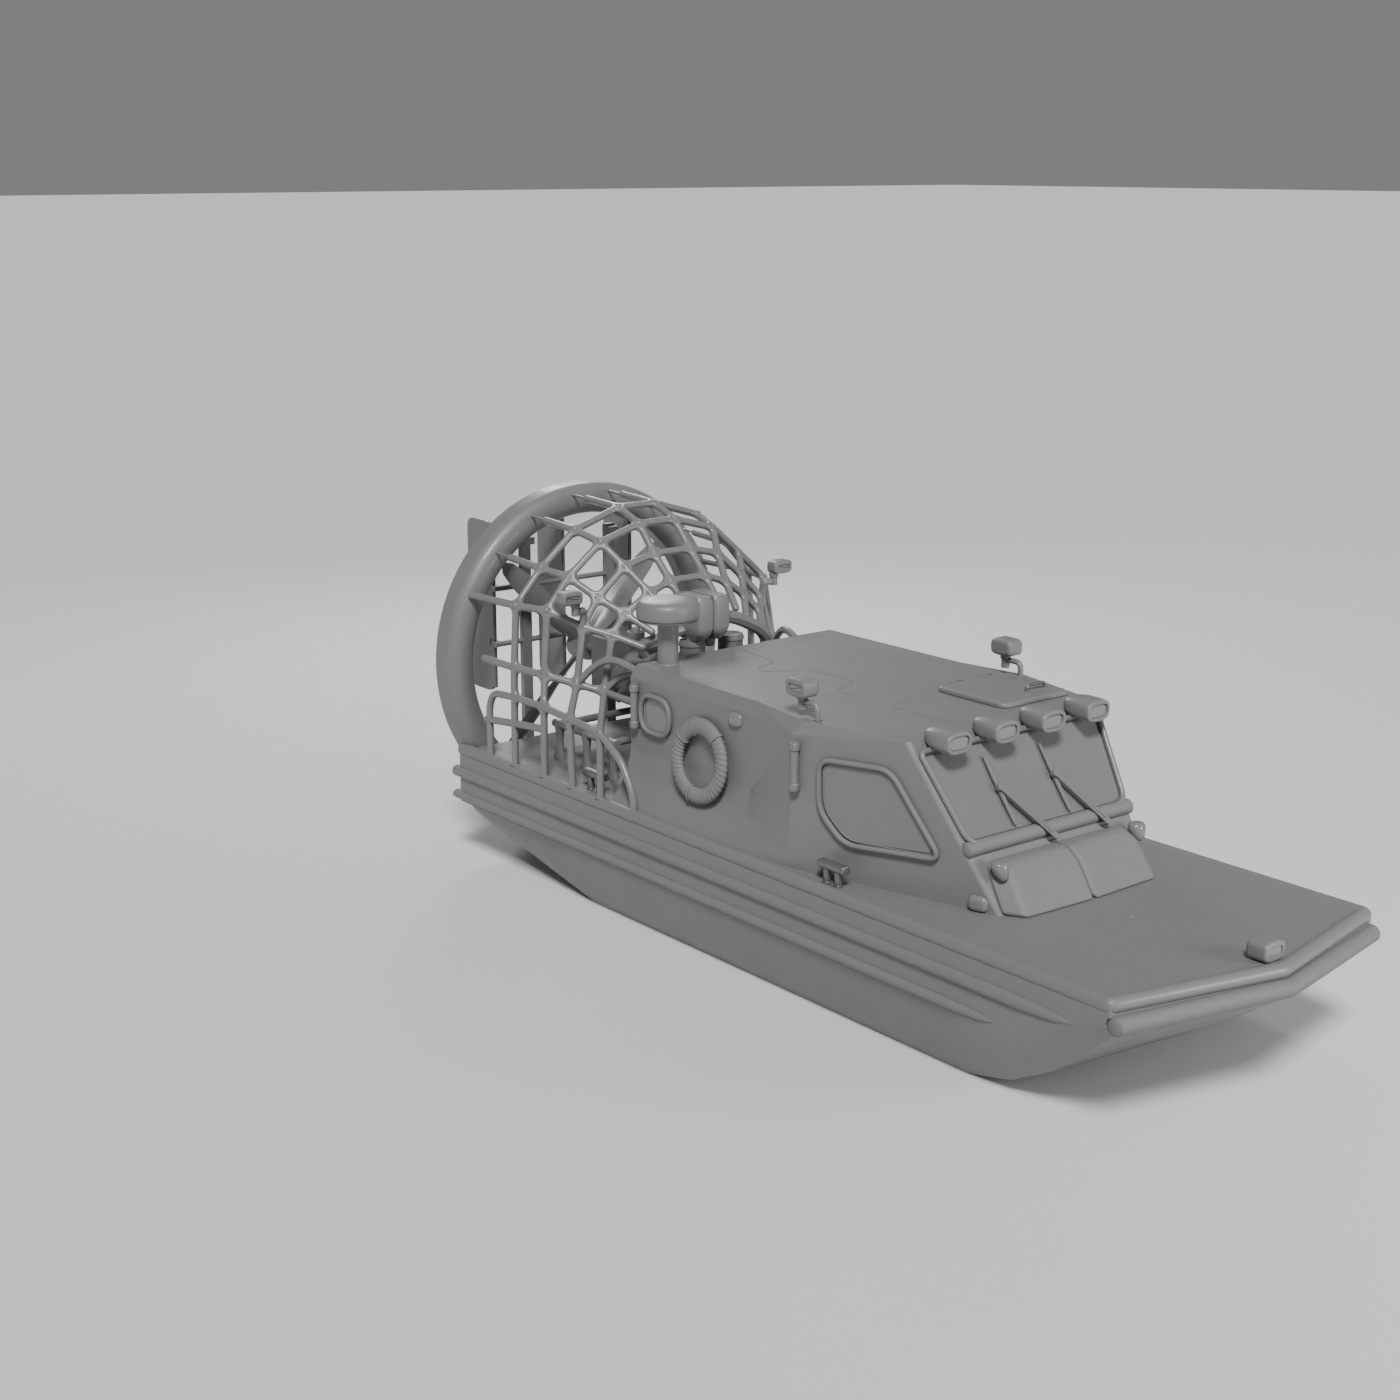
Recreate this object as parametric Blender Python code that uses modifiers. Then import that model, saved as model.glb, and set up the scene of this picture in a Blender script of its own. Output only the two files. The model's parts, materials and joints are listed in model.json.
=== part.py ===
"""Airboat: a decked sled hull, an enclosed cabin, a caged engine and a ducted pusher propeller.

Frame: +X to the bow, +Y to port, +Z up. The origin lies on the floor under the middle of the
boat's length, and the boat stands on its flat bottom. All lengths are metres.
"""

import math

import bmesh
import bpy
from mathutils import Matrix, Vector

GAP = 0.0003  # between pieces that touch

# Hull
BEAM = 2.50
DECK_Z = 0.95
TRANSOM_X = -3.324
BOW_X = 3.61  # the gunwale's corner at the bow
BOW_VEE = 0.28  # how far the stem stands ahead of the corners
KINK_X = -1.72  # the bottom rises aft of here
SLED_X = 2.30  # and ahead of here
RAILS = (  # z centre, half height, tip x
    (0.7245, 0.0435, 3.339),
    (0.5280, 0.0340, 2.737),
)
FENDER_R = 0.060
FENDER_Z = 0.800

# Well under the cabin
WELL = (-1.15, 1.70, 0.80, 0.30)  # aft x, fore x, half width, floor z

# Duct, propeller and rudders
SHAFT_Z = 1.615
SHAFT_R = 0.040
DUCT_X = -3.323
DUCT_HALF = 0.140
DUCT_OUT = 1.385
DUCT_IN = 1.130
DUCT_CUT_Z = 0.420  # the ring ends on the notch's floor
BLADE_TIP = 1.100
RUDDER_X = -3.610  # pivots, along the leading edges
FRAME_X = -3.545  # the columns and crossbars ahead of them
RUDDER_YS = (-0.70, 0.0, 0.70)
RUDDER_Z = (1.26, 2.70)
RUDDER_TAIL = -3.972
CROSSBARS_Z = (1.68, 2.15)

# Cabin: rows of (aft corner, crease, widest, front) as (x, y) at each level
SKIN = 0.040
WINDSHIELD_TOP = (1.53, 1.984)  # x, z
RAKE = 0.683  # metres forward for each metre down
SIDE = (1.144, -0.2747, -0.0131)  # |y| of the side wall at the widest corner, and its slopes in x and z
WIDEST_X = 0.68
CABIN_AFT = -1.30


def side_y(x, z):
    """|y| of the cabin side's outer face, ahead of its widest corner."""
    return SIDE[0] + SIDE[1] * (x - WIDEST_X) + SIDE[2] * (z - DECK_Z)


def front_x(z):
    """x of the windshield's plane, which runs on down to the deck."""
    return WINDSHIELD_TOP[0] + RAKE * (WINDSHIELD_TOP[1] - z)


def cabin_level(z, aft, crease, widest=None, front=None):
    """Aft corner, crease, widest corner and front corner at one height."""
    fore = front_x(z)
    return z, (aft, crease, widest or (WIDEST_X, side_y(WIDEST_X, z)), (fore, front or side_y(fore, z)))


CABIN_LEVELS = (
    cabin_level(DECK_Z + GAP, (CABIN_AFT, 1.195), (0.09, 1.165)),
    cabin_level(1.05, (CABIN_AFT, 1.110), (0.09, 1.095)),
    cabin_level(1.16, (CABIN_AFT, 1.045), (0.09, 1.035)),
    cabin_level(1.32, (CABIN_AFT, 1.000), (0.09, 1.000)),
    cabin_level(1.88, (CABIN_AFT, 1.000), (0.09, 1.000)),
    cabin_level(1.97, (-1.28, 0.955), (0.136, 0.965), (0.72, 1.055), 0.885),
)

GREY = (0.50, 0.51, 0.52)
PALE = (0.62, 0.63, 0.64)
DARK = (0.16, 0.17, 0.18)
BLACK = (0.05, 0.05, 0.055)
TINT = (0.12, 0.14, 0.15)
TUBE = (0.58, 0.59, 0.60)


# Helpers


def circle(count):
    """The angles of a round section."""
    return [2 * math.pi * k / count for k in range(count)]


def clear():
    for obj in list(bpy.data.objects):
        bpy.data.objects.remove(obj, do_unlink=True)
    for coll in list(bpy.data.collections):
        bpy.data.collections.remove(coll)


def new_collection(name):
    coll = bpy.data.collections.new(name)
    bpy.context.scene.collection.children.link(coll)
    return coll


def material(name, rgb, roughness=0.5, metallic=0.0, alpha=1.0):
    mat = bpy.data.materials.new(name)
    mat.use_nodes = True
    shader = mat.node_tree.nodes["Principled BSDF"]
    shader.inputs["Base Color"].default_value = (*rgb, 1.0)
    shader.inputs["Roughness"].default_value = roughness
    shader.inputs["Metallic"].default_value = metallic
    shader.inputs["Alpha"].default_value = alpha
    mat.diffuse_color = (*rgb, alpha)
    return mat


def add(name, data, mat=None, coll=None):
    obj = bpy.data.objects.new(name, data)
    (coll or PARTS).objects.link(obj)
    if mat:
        data.materials.append(mat)
    return obj


def finish_mesh(name, bm, mat=None, coll=None):
    bmesh.ops.recalc_face_normals(bm, faces=bm.faces)
    data = bpy.data.meshes.new(name)
    bm.to_mesh(data)
    bm.free()
    return add(name, data, mat, coll)


def evaluated(obj):
    """A plain mesh copy of an object as its modifiers leave it, in world coordinates."""
    bpy.context.view_layer.update()
    graph = bpy.context.evaluated_depsgraph_get()
    data = bpy.data.meshes.new_from_object(obj.evaluated_get(graph))
    data.transform(obj.matrix_world)
    return data


def as_mesh(obj, name=None, mat=None):
    """Turn a curve, or a mesh with modifiers, into a plain closed mesh object."""
    data = evaluated(obj)
    bm = bmesh.new()
    bm.from_mesh(data)
    bmesh.ops.remove_doubles(bm, verts=bm.verts, dist=1e-5)
    bmesh.ops.recalc_face_normals(bm, faces=bm.faces)
    bm.to_mesh(data)
    bm.free()
    name = name or obj.name
    coll = obj.users_collection[0]
    bpy.data.objects.remove(obj, do_unlink=True)
    data.materials.clear()
    data.name = name
    return add(name, data, mat, coll)


def boolean(obj, other, operation):
    mod = obj.modifiers.new(operation.title(), "BOOLEAN")
    mod.operation = operation
    mod.solver = "EXACT"
    mod.object = other
    return mod


def hide_cutter(obj):
    obj.hide_render = True
    obj.display_type = "WIRE"
    return obj


def cut(obj, *cutters):
    for cutter in cutters:
        boolean(obj, hide_cutter(cutter), "DIFFERENCE")
    return obj


def union(name, mat, *pieces):
    """Join overlapping closed pieces into one body and drop the originals."""
    base = pieces[0]
    for piece in pieces[1:]:
        boolean(base, piece, "UNION")
    data = evaluated(base)
    for piece in pieces:
        bpy.data.objects.remove(piece, do_unlink=True)
    data.materials.clear()
    data.name = name
    return add(name, data, mat)


def box(name, low, high, mat=None, coll=None, bevel=0.0, segments=2):
    bm = bmesh.new()
    bmesh.ops.create_cube(bm, size=1.0)
    size = [b - a for a, b in zip(low, high)]
    bmesh.ops.scale(bm, vec=size, verts=bm.verts)
    obj = finish_mesh(name, bm, mat, coll)
    obj.location = [(a + b) / 2 for a, b in zip(low, high)]
    if bevel:
        mod = obj.modifiers.new("Bevel", "BEVEL")
        mod.width = bevel
        mod.segments = segments
    return obj


def cylinder(name, start, end, radius, mat=None, coll=None, sides=16, radius2=None):
    start, end = Vector(start), Vector(end)
    along = end - start
    bm = bmesh.new()
    bmesh.ops.create_cone(
        bm, cap_ends=True, segments=sides, radius1=radius,
        radius2=radius if radius2 is None else radius2, depth=along.length,
    )
    obj = finish_mesh(name, bm, mat, coll)
    obj.rotation_euler = along.to_track_quat("Z", "Y").to_euler()
    obj.location = (start + end) / 2
    return obj


def tube(name, points, radius, mat=None, coll=None, cyclic=False, resolution=1, order=None):
    """A round tube along points. With order it is a smooth curve through their control cage."""
    curve = bpy.data.curves.new(name, "CURVE")
    curve.dimensions = "3D"
    curve.bevel_depth = radius
    curve.bevel_resolution = resolution
    curve.use_fill_caps = True
    spline = curve.splines.new("POLY")
    path = [Vector(p) for p in points]
    if order:
        path = rounded(path, order, cyclic)
    spline.points.add(len(path) - 1)
    for point, co in zip(spline.points, path):
        point.co = (*co, 1.0)
    spline.use_cyclic_u = cyclic
    return add(name, curve, mat, coll)


def rounded(points, radius, cyclic=False, steps=4):
    """The path with each inner corner replaced by an arc that starts radius away from it."""
    count = len(points)
    path = []
    for i, p in enumerate(points):
        if not cyclic and i in (0, count - 1):
            path.append(p)
            continue
        a, b = points[i - 1], points[(i + 1) % count]
        ra = min(radius, (a - p).length * 0.49)
        rb = min(radius, (b - p).length * 0.49)
        start = p + (a - p).normalized() * ra
        end = p + (b - p).normalized() * rb
        for k in range(steps + 1):
            t = k / steps
            path.append(start * (1 - t) ** 2 + p * 2 * t * (1 - t) + end * t * t)
    return path


def loft(name, rings, mat=None, coll=None, close_ends=True, halves=None):
    """A closed surface through rings that each hold the same number of points.

    With halves, each end is closed by two faces that meet between that pair of points.
    """
    bm = bmesh.new()
    rows = [[bm.verts.new(p) for p in ring] for ring in rings]
    for low, high in zip(rows, rows[1:]):
        for i in range(len(low)):
            j = (i + 1) % len(low)
            bm.faces.new((low[i], low[j], high[j], high[i]))
    for row in (rows[0], rows[-1]) if close_ends else ():
        if halves:
            a, b = halves
            bm.faces.new(row[a:b + 1])
            bm.faces.new(row[b:] + row[:a + 1])
        else:
            bm.faces.new(row)
    bmesh.ops.recalc_face_normals(bm, faces=bm.faces)
    bmesh.ops.triangulate(bm, faces=bm.faces)
    return finish_mesh(name, bm, mat, coll)


def barrel(name, start, end, outer, inner, sides=12):
    """A short round sleeve with a bore, such as a hinge's knuckle."""
    start, end = Vector(start), Vector(end)
    turn = (end - start).to_track_quat("Z", "Y")
    length = (end - start).length
    rings = []
    for k in range(sides):
        a = 2 * math.pi * (k + 0.5) / sides
        section = ((outer, 0), (outer, length), (inner, length), (inner, 0))
        rings.append([start + turn @ Vector((r * math.cos(a), r * math.sin(a), h)) for r, h in section])
    obj = loft(name, rings + [rings[0]], close_ends=False)
    weld(obj.data)
    return obj


def weld(data):
    bm = bmesh.new()
    bm.from_mesh(data)
    bmesh.ops.remove_doubles(bm, verts=bm.verts, dist=1e-5)
    bmesh.ops.recalc_face_normals(bm, faces=bm.faces)
    bm.to_mesh(data)
    bm.free()


def mirrored(points):
    """The points followed by their port twins in reverse order."""
    return list(points) + [(p[0], -p[1], *p[2:]) for p in reversed(points)]


# Hull


HULL_STATIONS = (  # x, bottom z, bottom y, band top z, band top y, side foot z
    (TRANSOM_X, 0.355, 1.100, 0.430, 1.150, 0.480),
    (KINK_X, 0.000, 1.050, 0.160, 1.150, 0.480),
    (SLED_X, 0.000, 1.050, 0.165, 1.150, 0.480),
    (2.47, 0.034, 1.050, 0.200, 1.160, 0.480),
    (2.68, 0.091, 1.060, 0.260, 1.180, 0.500),
    (2.98, 0.251, 1.080, 0.400, 1.200, 0.560),
    (3.30, 0.485, 1.130, 0.640, 1.225, 0.720),
    (3.47, 0.630, 1.170, 0.740, 1.240, 0.800),
    (BOW_X, 0.740, 1.210, 0.790, 1.245, 0.840),
)


def hull_section(station):
    x, zc, yc, zb, yb, zs = station
    half = BEAM / 2
    side = [(0.0, zc), (yc, zc), (yb, zb), (half, zs), (half, DECK_Z - 0.035),
            (half - 0.012, DECK_Z - 0.010), (half - 0.040, DECK_Z), (0.0, DECK_Z)]
    shift = max(0.0, (x - SLED_X) / (BOW_X - SLED_X)) * BOW_VEE
    ring = [(x + shift * (1 - y / half), -y, z) for y, z in side]
    port = [(x + shift * (1 - y / half), y, z) for y, z in reversed(side[1:-1])]
    return ring + port


def half_round(name, zc, half, tip_x):
    """A rub rail on the starboard side: half round, fading into the side at its fore end."""
    rings = []
    for x, scale in ((-3.394, 1.0), (tip_x - 0.45, 1.0), (tip_x - 0.15, 0.72), (tip_x, 0.12)):
        ring = []
        for k in range(7):
            angle = -math.pi / 2 + math.pi * k / 6
            ring.append((x, -(BEAM / 2 - 0.004 + 0.038 * scale * math.cos(angle)),
                         zc + half * scale * math.sin(angle)))
        ring += [(x, -(BEAM / 2 - 0.03), zc + half * scale), (x, -(BEAM / 2 - 0.03), zc - half * scale)]
        rings.append(ring)
    return loft(name, rings)


def bow_line(y, offset):
    return BOW_X + BOW_VEE * (1 - abs(y) / (BEAM / 2)) + offset


def build_hull():
    hull = loft("hull_body", [hull_section(s) for s in HULL_STATIONS], halves=(0, 7))
    pieces = [hull]
    for i, (zc, half, tip) in enumerate(RAILS):
        rail = half_round(f"rail_{i}", zc, half, tip)
        twin = add(f"rail_twin_{i}", rail.data.copy())
        twin.data.transform(Matrix.Scale(-1, 4, (0, 1, 0)))
        twin.data.flip_normals()
        pieces += [rail, twin]
    hull = union("hull", MATS["hull"], *pieces)
    fender_points = [(bow_line(y, 0.022), y, FENDER_Z + 0.02 * (1 - abs(y) / 1.22))
                     for y in (-1.22, -0.6, 0.0, 0.6, 1.22)]
    tube("bow_fender", fender_points, FENDER_R, MATS["rubber"], resolution=2)
    longer = [(bow_line(1.25, 0.022), y, FENDER_Z) for y in (-1.32, 1.32)]
    groove = as_mesh(tube("groove", longer[:1] + fender_points + longer[1:],
                          FENDER_R + 0.0012, coll=CUTTERS, resolution=2))
    notch = cylinder("notch", (DUCT_X - 0.6, 0, SHAFT_Z), (DUCT_X + DUCT_HALF + GAP, 0, SHAFT_Z),
                     DUCT_OUT + 0.004, coll=CUTTERS, sides=64)
    above = box("above_floor", (-4.2, -2, DUCT_CUT_Z - GAP), (-2, 2, 3.2), coll=CUTTERS)
    boolean(notch, above, "INTERSECT")
    notch = as_mesh(notch)
    bpy.data.objects.remove(above, do_unlink=True)
    aft, fore, half, floor = WELL
    well = box("well", (aft, -half, floor), (fore, half, 1.2), coll=CUTTERS)
    cut(hull, groove, notch, well)
    return hull


# Cabin


def level_ring(level, inset=0.0, dz=0.0):
    z, corners = level
    ring = []
    for i, (x, y) in enumerate(corners):
        px = x + inset if i == 0 else (x - inset * 1.25 if i == 3 else x)
        ring.append((px, -(y - inset), z + dz))
    return mirrored(ring)


SIDE_WINDOW = (  # x, z
    (0.905, 1.755), (1.435, 1.772), (1.822, 1.240), (1.110, 1.205), (0.915, 1.405),
)


def side_normal(sign):
    """The outward normal of the side wall ahead of its widest corner."""
    return Vector((-SIDE[1], sign, -SIDE[2])).normalized()


def window_prism(name, corners, normal, depth_in, depth_out, radius, coll=None, mat=None):
    """A prism with rounded corners that passes through a wall along its normal."""
    path = rounded([Vector(c) for c in corners], radius, cyclic=True)
    rings = [[p - normal * depth_in for p in path], [p + normal * depth_out for p in path]]
    return loft(name, rings, mat, coll)


def inset(corners, by, normal):
    """The corners of a flat convex polygon with every side moved inwards by a distance."""
    pts = [Vector(c) for c in corners]
    mid = sum(pts, Vector()) / len(pts)
    count = len(pts)
    lines = []
    for i in range(count):
        along = (pts[(i + 1) % count] - pts[i]).normalized()
        inward = normal.cross(along).normalized()
        if (mid - pts[i]).dot(inward) < 0:
            inward = -inward
        lines.append((pts[i] + inward * by, along, inward))
    moved = []
    for i in range(count):
        p, along, _ = lines[i - 1]
        q, _, inward = lines[i]
        moved.append(p + along * ((q - p).dot(inward) / along.dot(inward)))
    return moved


def flip(corners):
    return [(c[0], -c[1], c[2]) for c in reversed([tuple(c) for c in corners])]


def side_window_corners():
    return [Vector((x, -side_y(x, z), z)) for x, z in SIDE_WINDOW]


AFT_WINDOW = ((-1.16, -1.0, 1.79), (-0.79, -1.0, 1.79), (-0.79, -1.0, 1.50), (-1.16, -1.0, 1.50))
DOOR = (-0.79, -0.37, 1.02, 1.74)  # y low, y high, z low, z high
HATCH = (0.665, 1.335, 0.205, 0.873)  # x low, x high, y low, y high
ROOF_Z = 1.97
HINGE_R = 0.013
PIN_R = 0.005
DOOR_AXIS = (-1.314, -0.373, 0.0)
DOOR_SPOTS = (1.17, 1.58)
HATCH_AXIS = (0.651, 0.0, 1.990)
HATCH_SPOTS = (0.457, 0.764)
WINDSHIELD = ((1.900, 0.845), (1.352, 0.745))  # z and half width, at its top and at its foot
FRAME_R = 0.020
FRAME_LIFT = {"side": -0.0003, "aft": 2 * GAP}  # seats each rim's octagon on its wall
RIM_CORNER = 0.10
OPENING_INSET = 0.065  # from the rim's centre line to the hole in the wall
PANE_INSET = 0.030
PANE = 0.006
HATCH_LIP = 0.06
HATCH_GRIP = (1.17, 0.60, 0.78)  # x, y low, y high


def windshield_corners():
    (top, wide), (foot, narrow) = WINDSHIELD
    corners = ((top, -wide), (top, wide), (foot, narrow), (foot, -narrow))
    return [Vector((front_x(z), y, z)) for z, y in corners]


def front_normal():
    return Vector((1.0, 0.0, RAKE)).normalized()


def windows():
    """Name, frame corners on the wall's outer face and the face's outward normal."""
    side, out = side_window_corners(), Vector((0, -1, 0))
    return (
        ("side_{}_r", side, side_normal(-1)), ("side_{}_l", flip(side), side_normal(1)),
        ("aft_{}_r", AFT_WINDOW, out), ("aft_{}_l", flip(AFT_WINDOW), -out),
        ("windshield_{}", windshield_corners(), front_normal()),
    )


def build_cabin():
    outer = [level_ring(lv) for lv in CABIN_LEVELS]
    cabin = loft("cabin", outer, MATS["cabin"])
    inner = [level_ring(CABIN_LEVELS[0], SKIN, -0.02)]
    inner += [level_ring(lv, SKIN) for lv in CABIN_LEVELS[1:-1]]
    inner += [level_ring(CABIN_LEVELS[-1], SKIN + 0.015, -SKIN)]
    cutters = [loft("cabin_void", inner, coll=CUTTERS)]
    for name, corners, normal in windows():
        opening = inset(corners, OPENING_INSET, normal)
        cutters.append(window_prism(name.format("opening"), opening, normal, 0.14, 0.14, 0.06, CUTTERS))
    y0, y1, z0, z1 = DOOR
    cutters.append(box("door_opening", (-1.5, y0, z0), (-1.1, y1, z1), coll=CUTTERS))
    x0, x1, y0, y1 = HATCH
    hole = ((x0 + HATCH_LIP, y0 + HATCH_LIP, 1.8), (x1 - HATCH_LIP, y1 - HATCH_LIP, 2.1))
    cutters.append(box("hatch_opening", *hole, coll=CUTTERS))
    cut(cabin, *cutters)
    fixed_hinges(cabin)
    for name, corners, normal in windows():
        pane = [p + normal * GAP for p in inset(corners, PANE_INSET, normal)]
        window_prism(name.format("glass"), pane, normal, 0, PANE, 0.07, mat=MATS["glass"])
        if name.startswith("wind"):
            continue
        lift = FRAME_R + FRAME_LIFT[name.split("_")[0]]
        rim = [Vector(c) + normal * lift for c in corners]
        tube(name.format("frame"), rim, FRAME_R, MATS["window_frame"], cyclic=True, order=RIM_CORNER)
    build_windshield_frame()
    grab_rails(cabin)
    return cabin


ELBOW = 0.09  # how far the lamp rail runs down each side before the frame takes over
RIM_LIFT = FRAME_R + 2 * GAP
SILL = (0.76, 0.036, 0.028, 0.016)  # half length, depth, half height, drop below the rim


def rim_points():
    """Centres of the windshield's rim: top starboard, top port, foot port, foot starboard."""
    return [c + front_normal() * RIM_LIFT for c in windshield_corners()]


def elbow_end(top, foot, extra=0.0):
    return top + (foot - top).normalized() * (ELBOW + extra)


def build_windshield_frame():
    """Two side tubes that run into a thick half-round sill."""
    top_r, top_l, foot_l, foot_r = rim_points()
    path = [elbow_end(top_r, foot_r, GAP), foot_r, foot_l, elbow_end(top_l, foot_l, GAP)]
    sides = as_mesh(tube("sides", path, FRAME_R, order=RIM_CORNER, resolution=2))
    length, depth, half, drop = SILL
    normal, up = front_normal(), Vector((-RAKE, 0, 1)).normalized()
    base = (foot_l + foot_r) / 2 - normal * (RIM_LIFT - 2 * GAP) - up * drop
    rings = []
    for y, scale in ((-length, 0.55), (-length + 0.03, 1.0), (length - 0.03, 1.0), (length, 0.55)):
        ring = []
        for k in range(7):
            a = math.pi * (k / 6 - 0.5)
            section = normal * depth * math.cos(a) + up * half * math.sin(a)
            ring.append(base + Vector((0, y, 0)) + section * scale)
        rings.append(ring)
    union("windshield_frame", MATS["window_frame"], sides, loft("sill", rings))


def hinge_row(kind, along, axis, spots, leaf_low, leaf_high, base_low, base_high):
    """Knuckles of a hinge: a barrel per spot on the leaf's side, two ears and a pin on the fixed side.

    along is 1 for an axis in Y and 2 for one in Z. The leaf and base corners are for a spot at 0.
    """
    pieces = []

    def at(spot, low, high, start, end):
        a, b = list(low), list(high)
        a[along], b[along] = spot + start, spot + end
        return a, b

    for spot in spots:
        if kind == "leaf":
            pieces.append(box(f"leaf_{spot}", *at(spot, leaf_low, leaf_high, -0.030, 0.030)))
            ends = [list(axis), list(axis)]
            ends[0][along], ends[1][along] = spot - 0.030, spot + 0.030
            pieces.append(barrel(f"barrel_{spot}", *ends, HINGE_R, PIN_R + 0.0008))
        else:
            for start, end in ((-0.066, -0.036), (0.036, 0.066)):
                base = at(spot, base_low, base_high, start, end)
                pieces.append(box(f"ear_base_{spot}_{start}", *base))
                ends = [list(axis), list(axis)]
                ends[0][along], ends[1][along] = spot + start, spot + end
                pieces.append(cylinder(f"ear_{spot}_{start}", *ends, HINGE_R, sides=12))
            ends = [list(axis), list(axis)]
            ends[0][along], ends[1][along] = spot - 0.060, spot + 0.060
            pieces.append(cylinder(f"pin_{spot}", *ends, PIN_R, sides=12))
    return pieces


def door_panel():
    y0, y1, z0, z1 = DOOR
    gap = 0.006
    low, high = (CABIN_AFT, y0 + gap, z0 + gap), (CABIN_AFT + 0.038, y1 - gap, z1 - gap)
    panel = box("panel", low, high, bevel=0.004, segments=1)
    leaves = hinge_row("leaf", 2, DOOR_AXIS, DOOR_SPOTS, (DOOR_AXIS[0] - 0.0031, y1 - 0.071, 0),
                       (-1.2973, DOOR_AXIS[1] - 0.0075, 0), None, None)
    grip_y = y0 + 0.075
    grip = [(-1.29, grip_y, 1.34), (-1.335, grip_y, 1.34), (-1.335, grip_y, 1.47), (-1.29, grip_y, 1.47)]
    return panel, *leaves, as_mesh(tube("door_handle", grip, 0.010, order=0.025))


def build_door():
    """The aft door, on the starboard half so that it swings clear of the engine."""
    return union("cab_door", MATS["cabin"], *door_panel())


def fixed_hinges(cabin):
    """The cabin's own ears and pins for the door and the roof hatch."""
    door = hinge_row("ears", 2, DOOR_AXIS, DOOR_SPOTS, None, None,
                     (DOOR_AXIS[0] - 0.003, DOOR_AXIS[1] + 0.001, 0), (-1.295, DOOR[1] + 0.055, 0))
    hatch = hinge_row("ears", 1, HATCH_AXIS, HATCH_SPOTS, None, None,
                      (HATCH_AXIS[0] - 0.035, 0, ROOF_Z - 0.006), (HATCH_AXIS[0] + 0.004, 0, HATCH_AXIS[2]))
    join_to(cabin, *door, *hatch)


def join_to(body, *pieces):
    """Fuse pieces into a body that still has its modifiers."""
    for piece in pieces:
        boolean(body, hide_cutter(piece), "UNION")
        PARTS.objects.unlink(piece)
        CUTTERS.objects.link(piece)


GRAB_RAILS = (  # x, |y| of the wall there, z low, z high
    (-1.215, 1.000, 1.50, 1.845),
    (0.740, 1.123, 1.50, 1.850),
)
GRAB_STAND = 0.026


def grab_rails(cabin):
    """Upright hand rails on the cabin's sides: thick sleeves at the ends and a thinner bar between."""
    for x, wall, low, high in GRAB_RAILS:
        for sign in (-1, 1):
            y = sign * (wall + GRAB_STAND)
            tag = f"grab_{x}_{sign}"
            ends = [((x, y, low), (x, y, low + 0.06)), ((x, y, high - 0.06), (x, y, high))]
            sleeves = [cylinder(f"{tag}_{i}", *end, 0.030, sides=12) for i, end in enumerate(ends)]
            bar = cylinder(f"{tag}_bar", (x, y, low + 0.03), (x, y, high - 0.03), 0.019, sides=12)
            join_to(cabin, *sleeves, bar)


def build_hatch():
    x0, x1, y0, y1 = HATCH
    z = ROOF_Z + 0.005
    plate = box("plate", (x0, y0, z), (x1, y1, z + 0.032), bevel=0.012)
    leaf = ((HATCH_AXIS[0] + 0.0075, 0, z + 0.0043), (x0 + 0.031, 0, z + 0.0217))
    leaves = hinge_row("leaf", 1, HATCH_AXIS, HATCH_SPOTS, *leaf, None, None)
    (x, a, b), low, high = HATCH_GRIP, z + 0.02, z + 0.07
    grip = [(x, a, low), (x, a, high), (x, b, high), (x, b, low)]
    return union("roof_hatch", MATS["cabin"], plate, *leaves, as_mesh(tube("grip", grip, 0.012, order=0.03)))


HOOD_ROWS = (  # z, |y| of the side, x of the front
    (DECK_Z + GAP, 0.713, 2.405),
    (1.185, 0.690, 2.245),
    (1.255, 0.660, 2.150),
)
HOOD_CORNER = (0.02, 0.09)  # how far the front's outer corner steps back, and in from the side


def build_hood():
    """The fore coaming: two padded halves on the windshield's foot, each with its teardrop lamp."""
    step = 0.002
    back_by, in_by = HOOD_CORNER
    for tag, sign in (("r", -1), ("l", 1)):
        rings = []
        for z, y, x in HOOD_ROWS:
            back = front_x(z) + 2 * GAP
            rings.append([(back, sign * step, z), (x, sign * step, z),
                          (x - back_by, sign * (y - in_by), z), (back, sign * y, z)])
        hood = loft(f"hood_{tag}", rings, MATS["hood"])
        room = add(f"hood_room_{tag}", hood.data.copy(), coll=CUTTERS)
        for vertex, source in zip(room.data.vertices, hood.data.vertices):
            vertex.co = source.co + source.normal * 3 * GAP
        cut(hood_lamp(f"hood_lamp_{tag}", sign), room)


# Lamps and deck gear


LAMP_YS = (-0.66, -0.22, 0.22, 0.66)
LAMP_X = 1.758
LAMP_Z = 1.976
LAMP_SCALE = 1.07
LAMP_ROWS = (  # x from the lens's edge, half width, half height, lift of the middle
    (-0.235, 0.030, 0.006, 0.040), (-0.200, 0.075, 0.032, 0.026), (-0.130, 0.108, 0.060, 0.008),
    (-0.040, 0.118, 0.072, 0.0), (0.005, 0.114, 0.070, 0.0), (0.020, 0.104, 0.060, 0.0),
)
SWIVEL_R = 0.038
HEAD = (0.190, 0.130, 0.112)  # a searchlight's head: along x, along y, height
HEAD_LIFT = 0.200  # its middle above the roof
HEAD_BACK = 0.150  # and aft of its stem
WORK_HEAD = (0.120, 0.190, 0.108)
WORK_PLACE = (-2.018, 1.046, 2.362)
WORK_SWIVEL_Y = 0.990  # the joint under a work light, which the cage's neck reaches
HEAD_BEVEL = 0.036
BEZEL_R = 0.006
HOOD_LAMP = (2.160, 0.655, 1.235)  # x, |y|, z
HOOD_LAMP_ROWS = (  # x and z from its place, radius
    (-0.006, 0.050, 0.035), (-0.004, 0.044, 0.054), (0.0, 0.015, 0.062), (0.016, -0.035, 0.048),
    (0.032, -0.068, 0.022),
)
BOW_LAMP = (3.66, 3.80, 0.085, 0.115)  # aft x, fore x, half width, height


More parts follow.
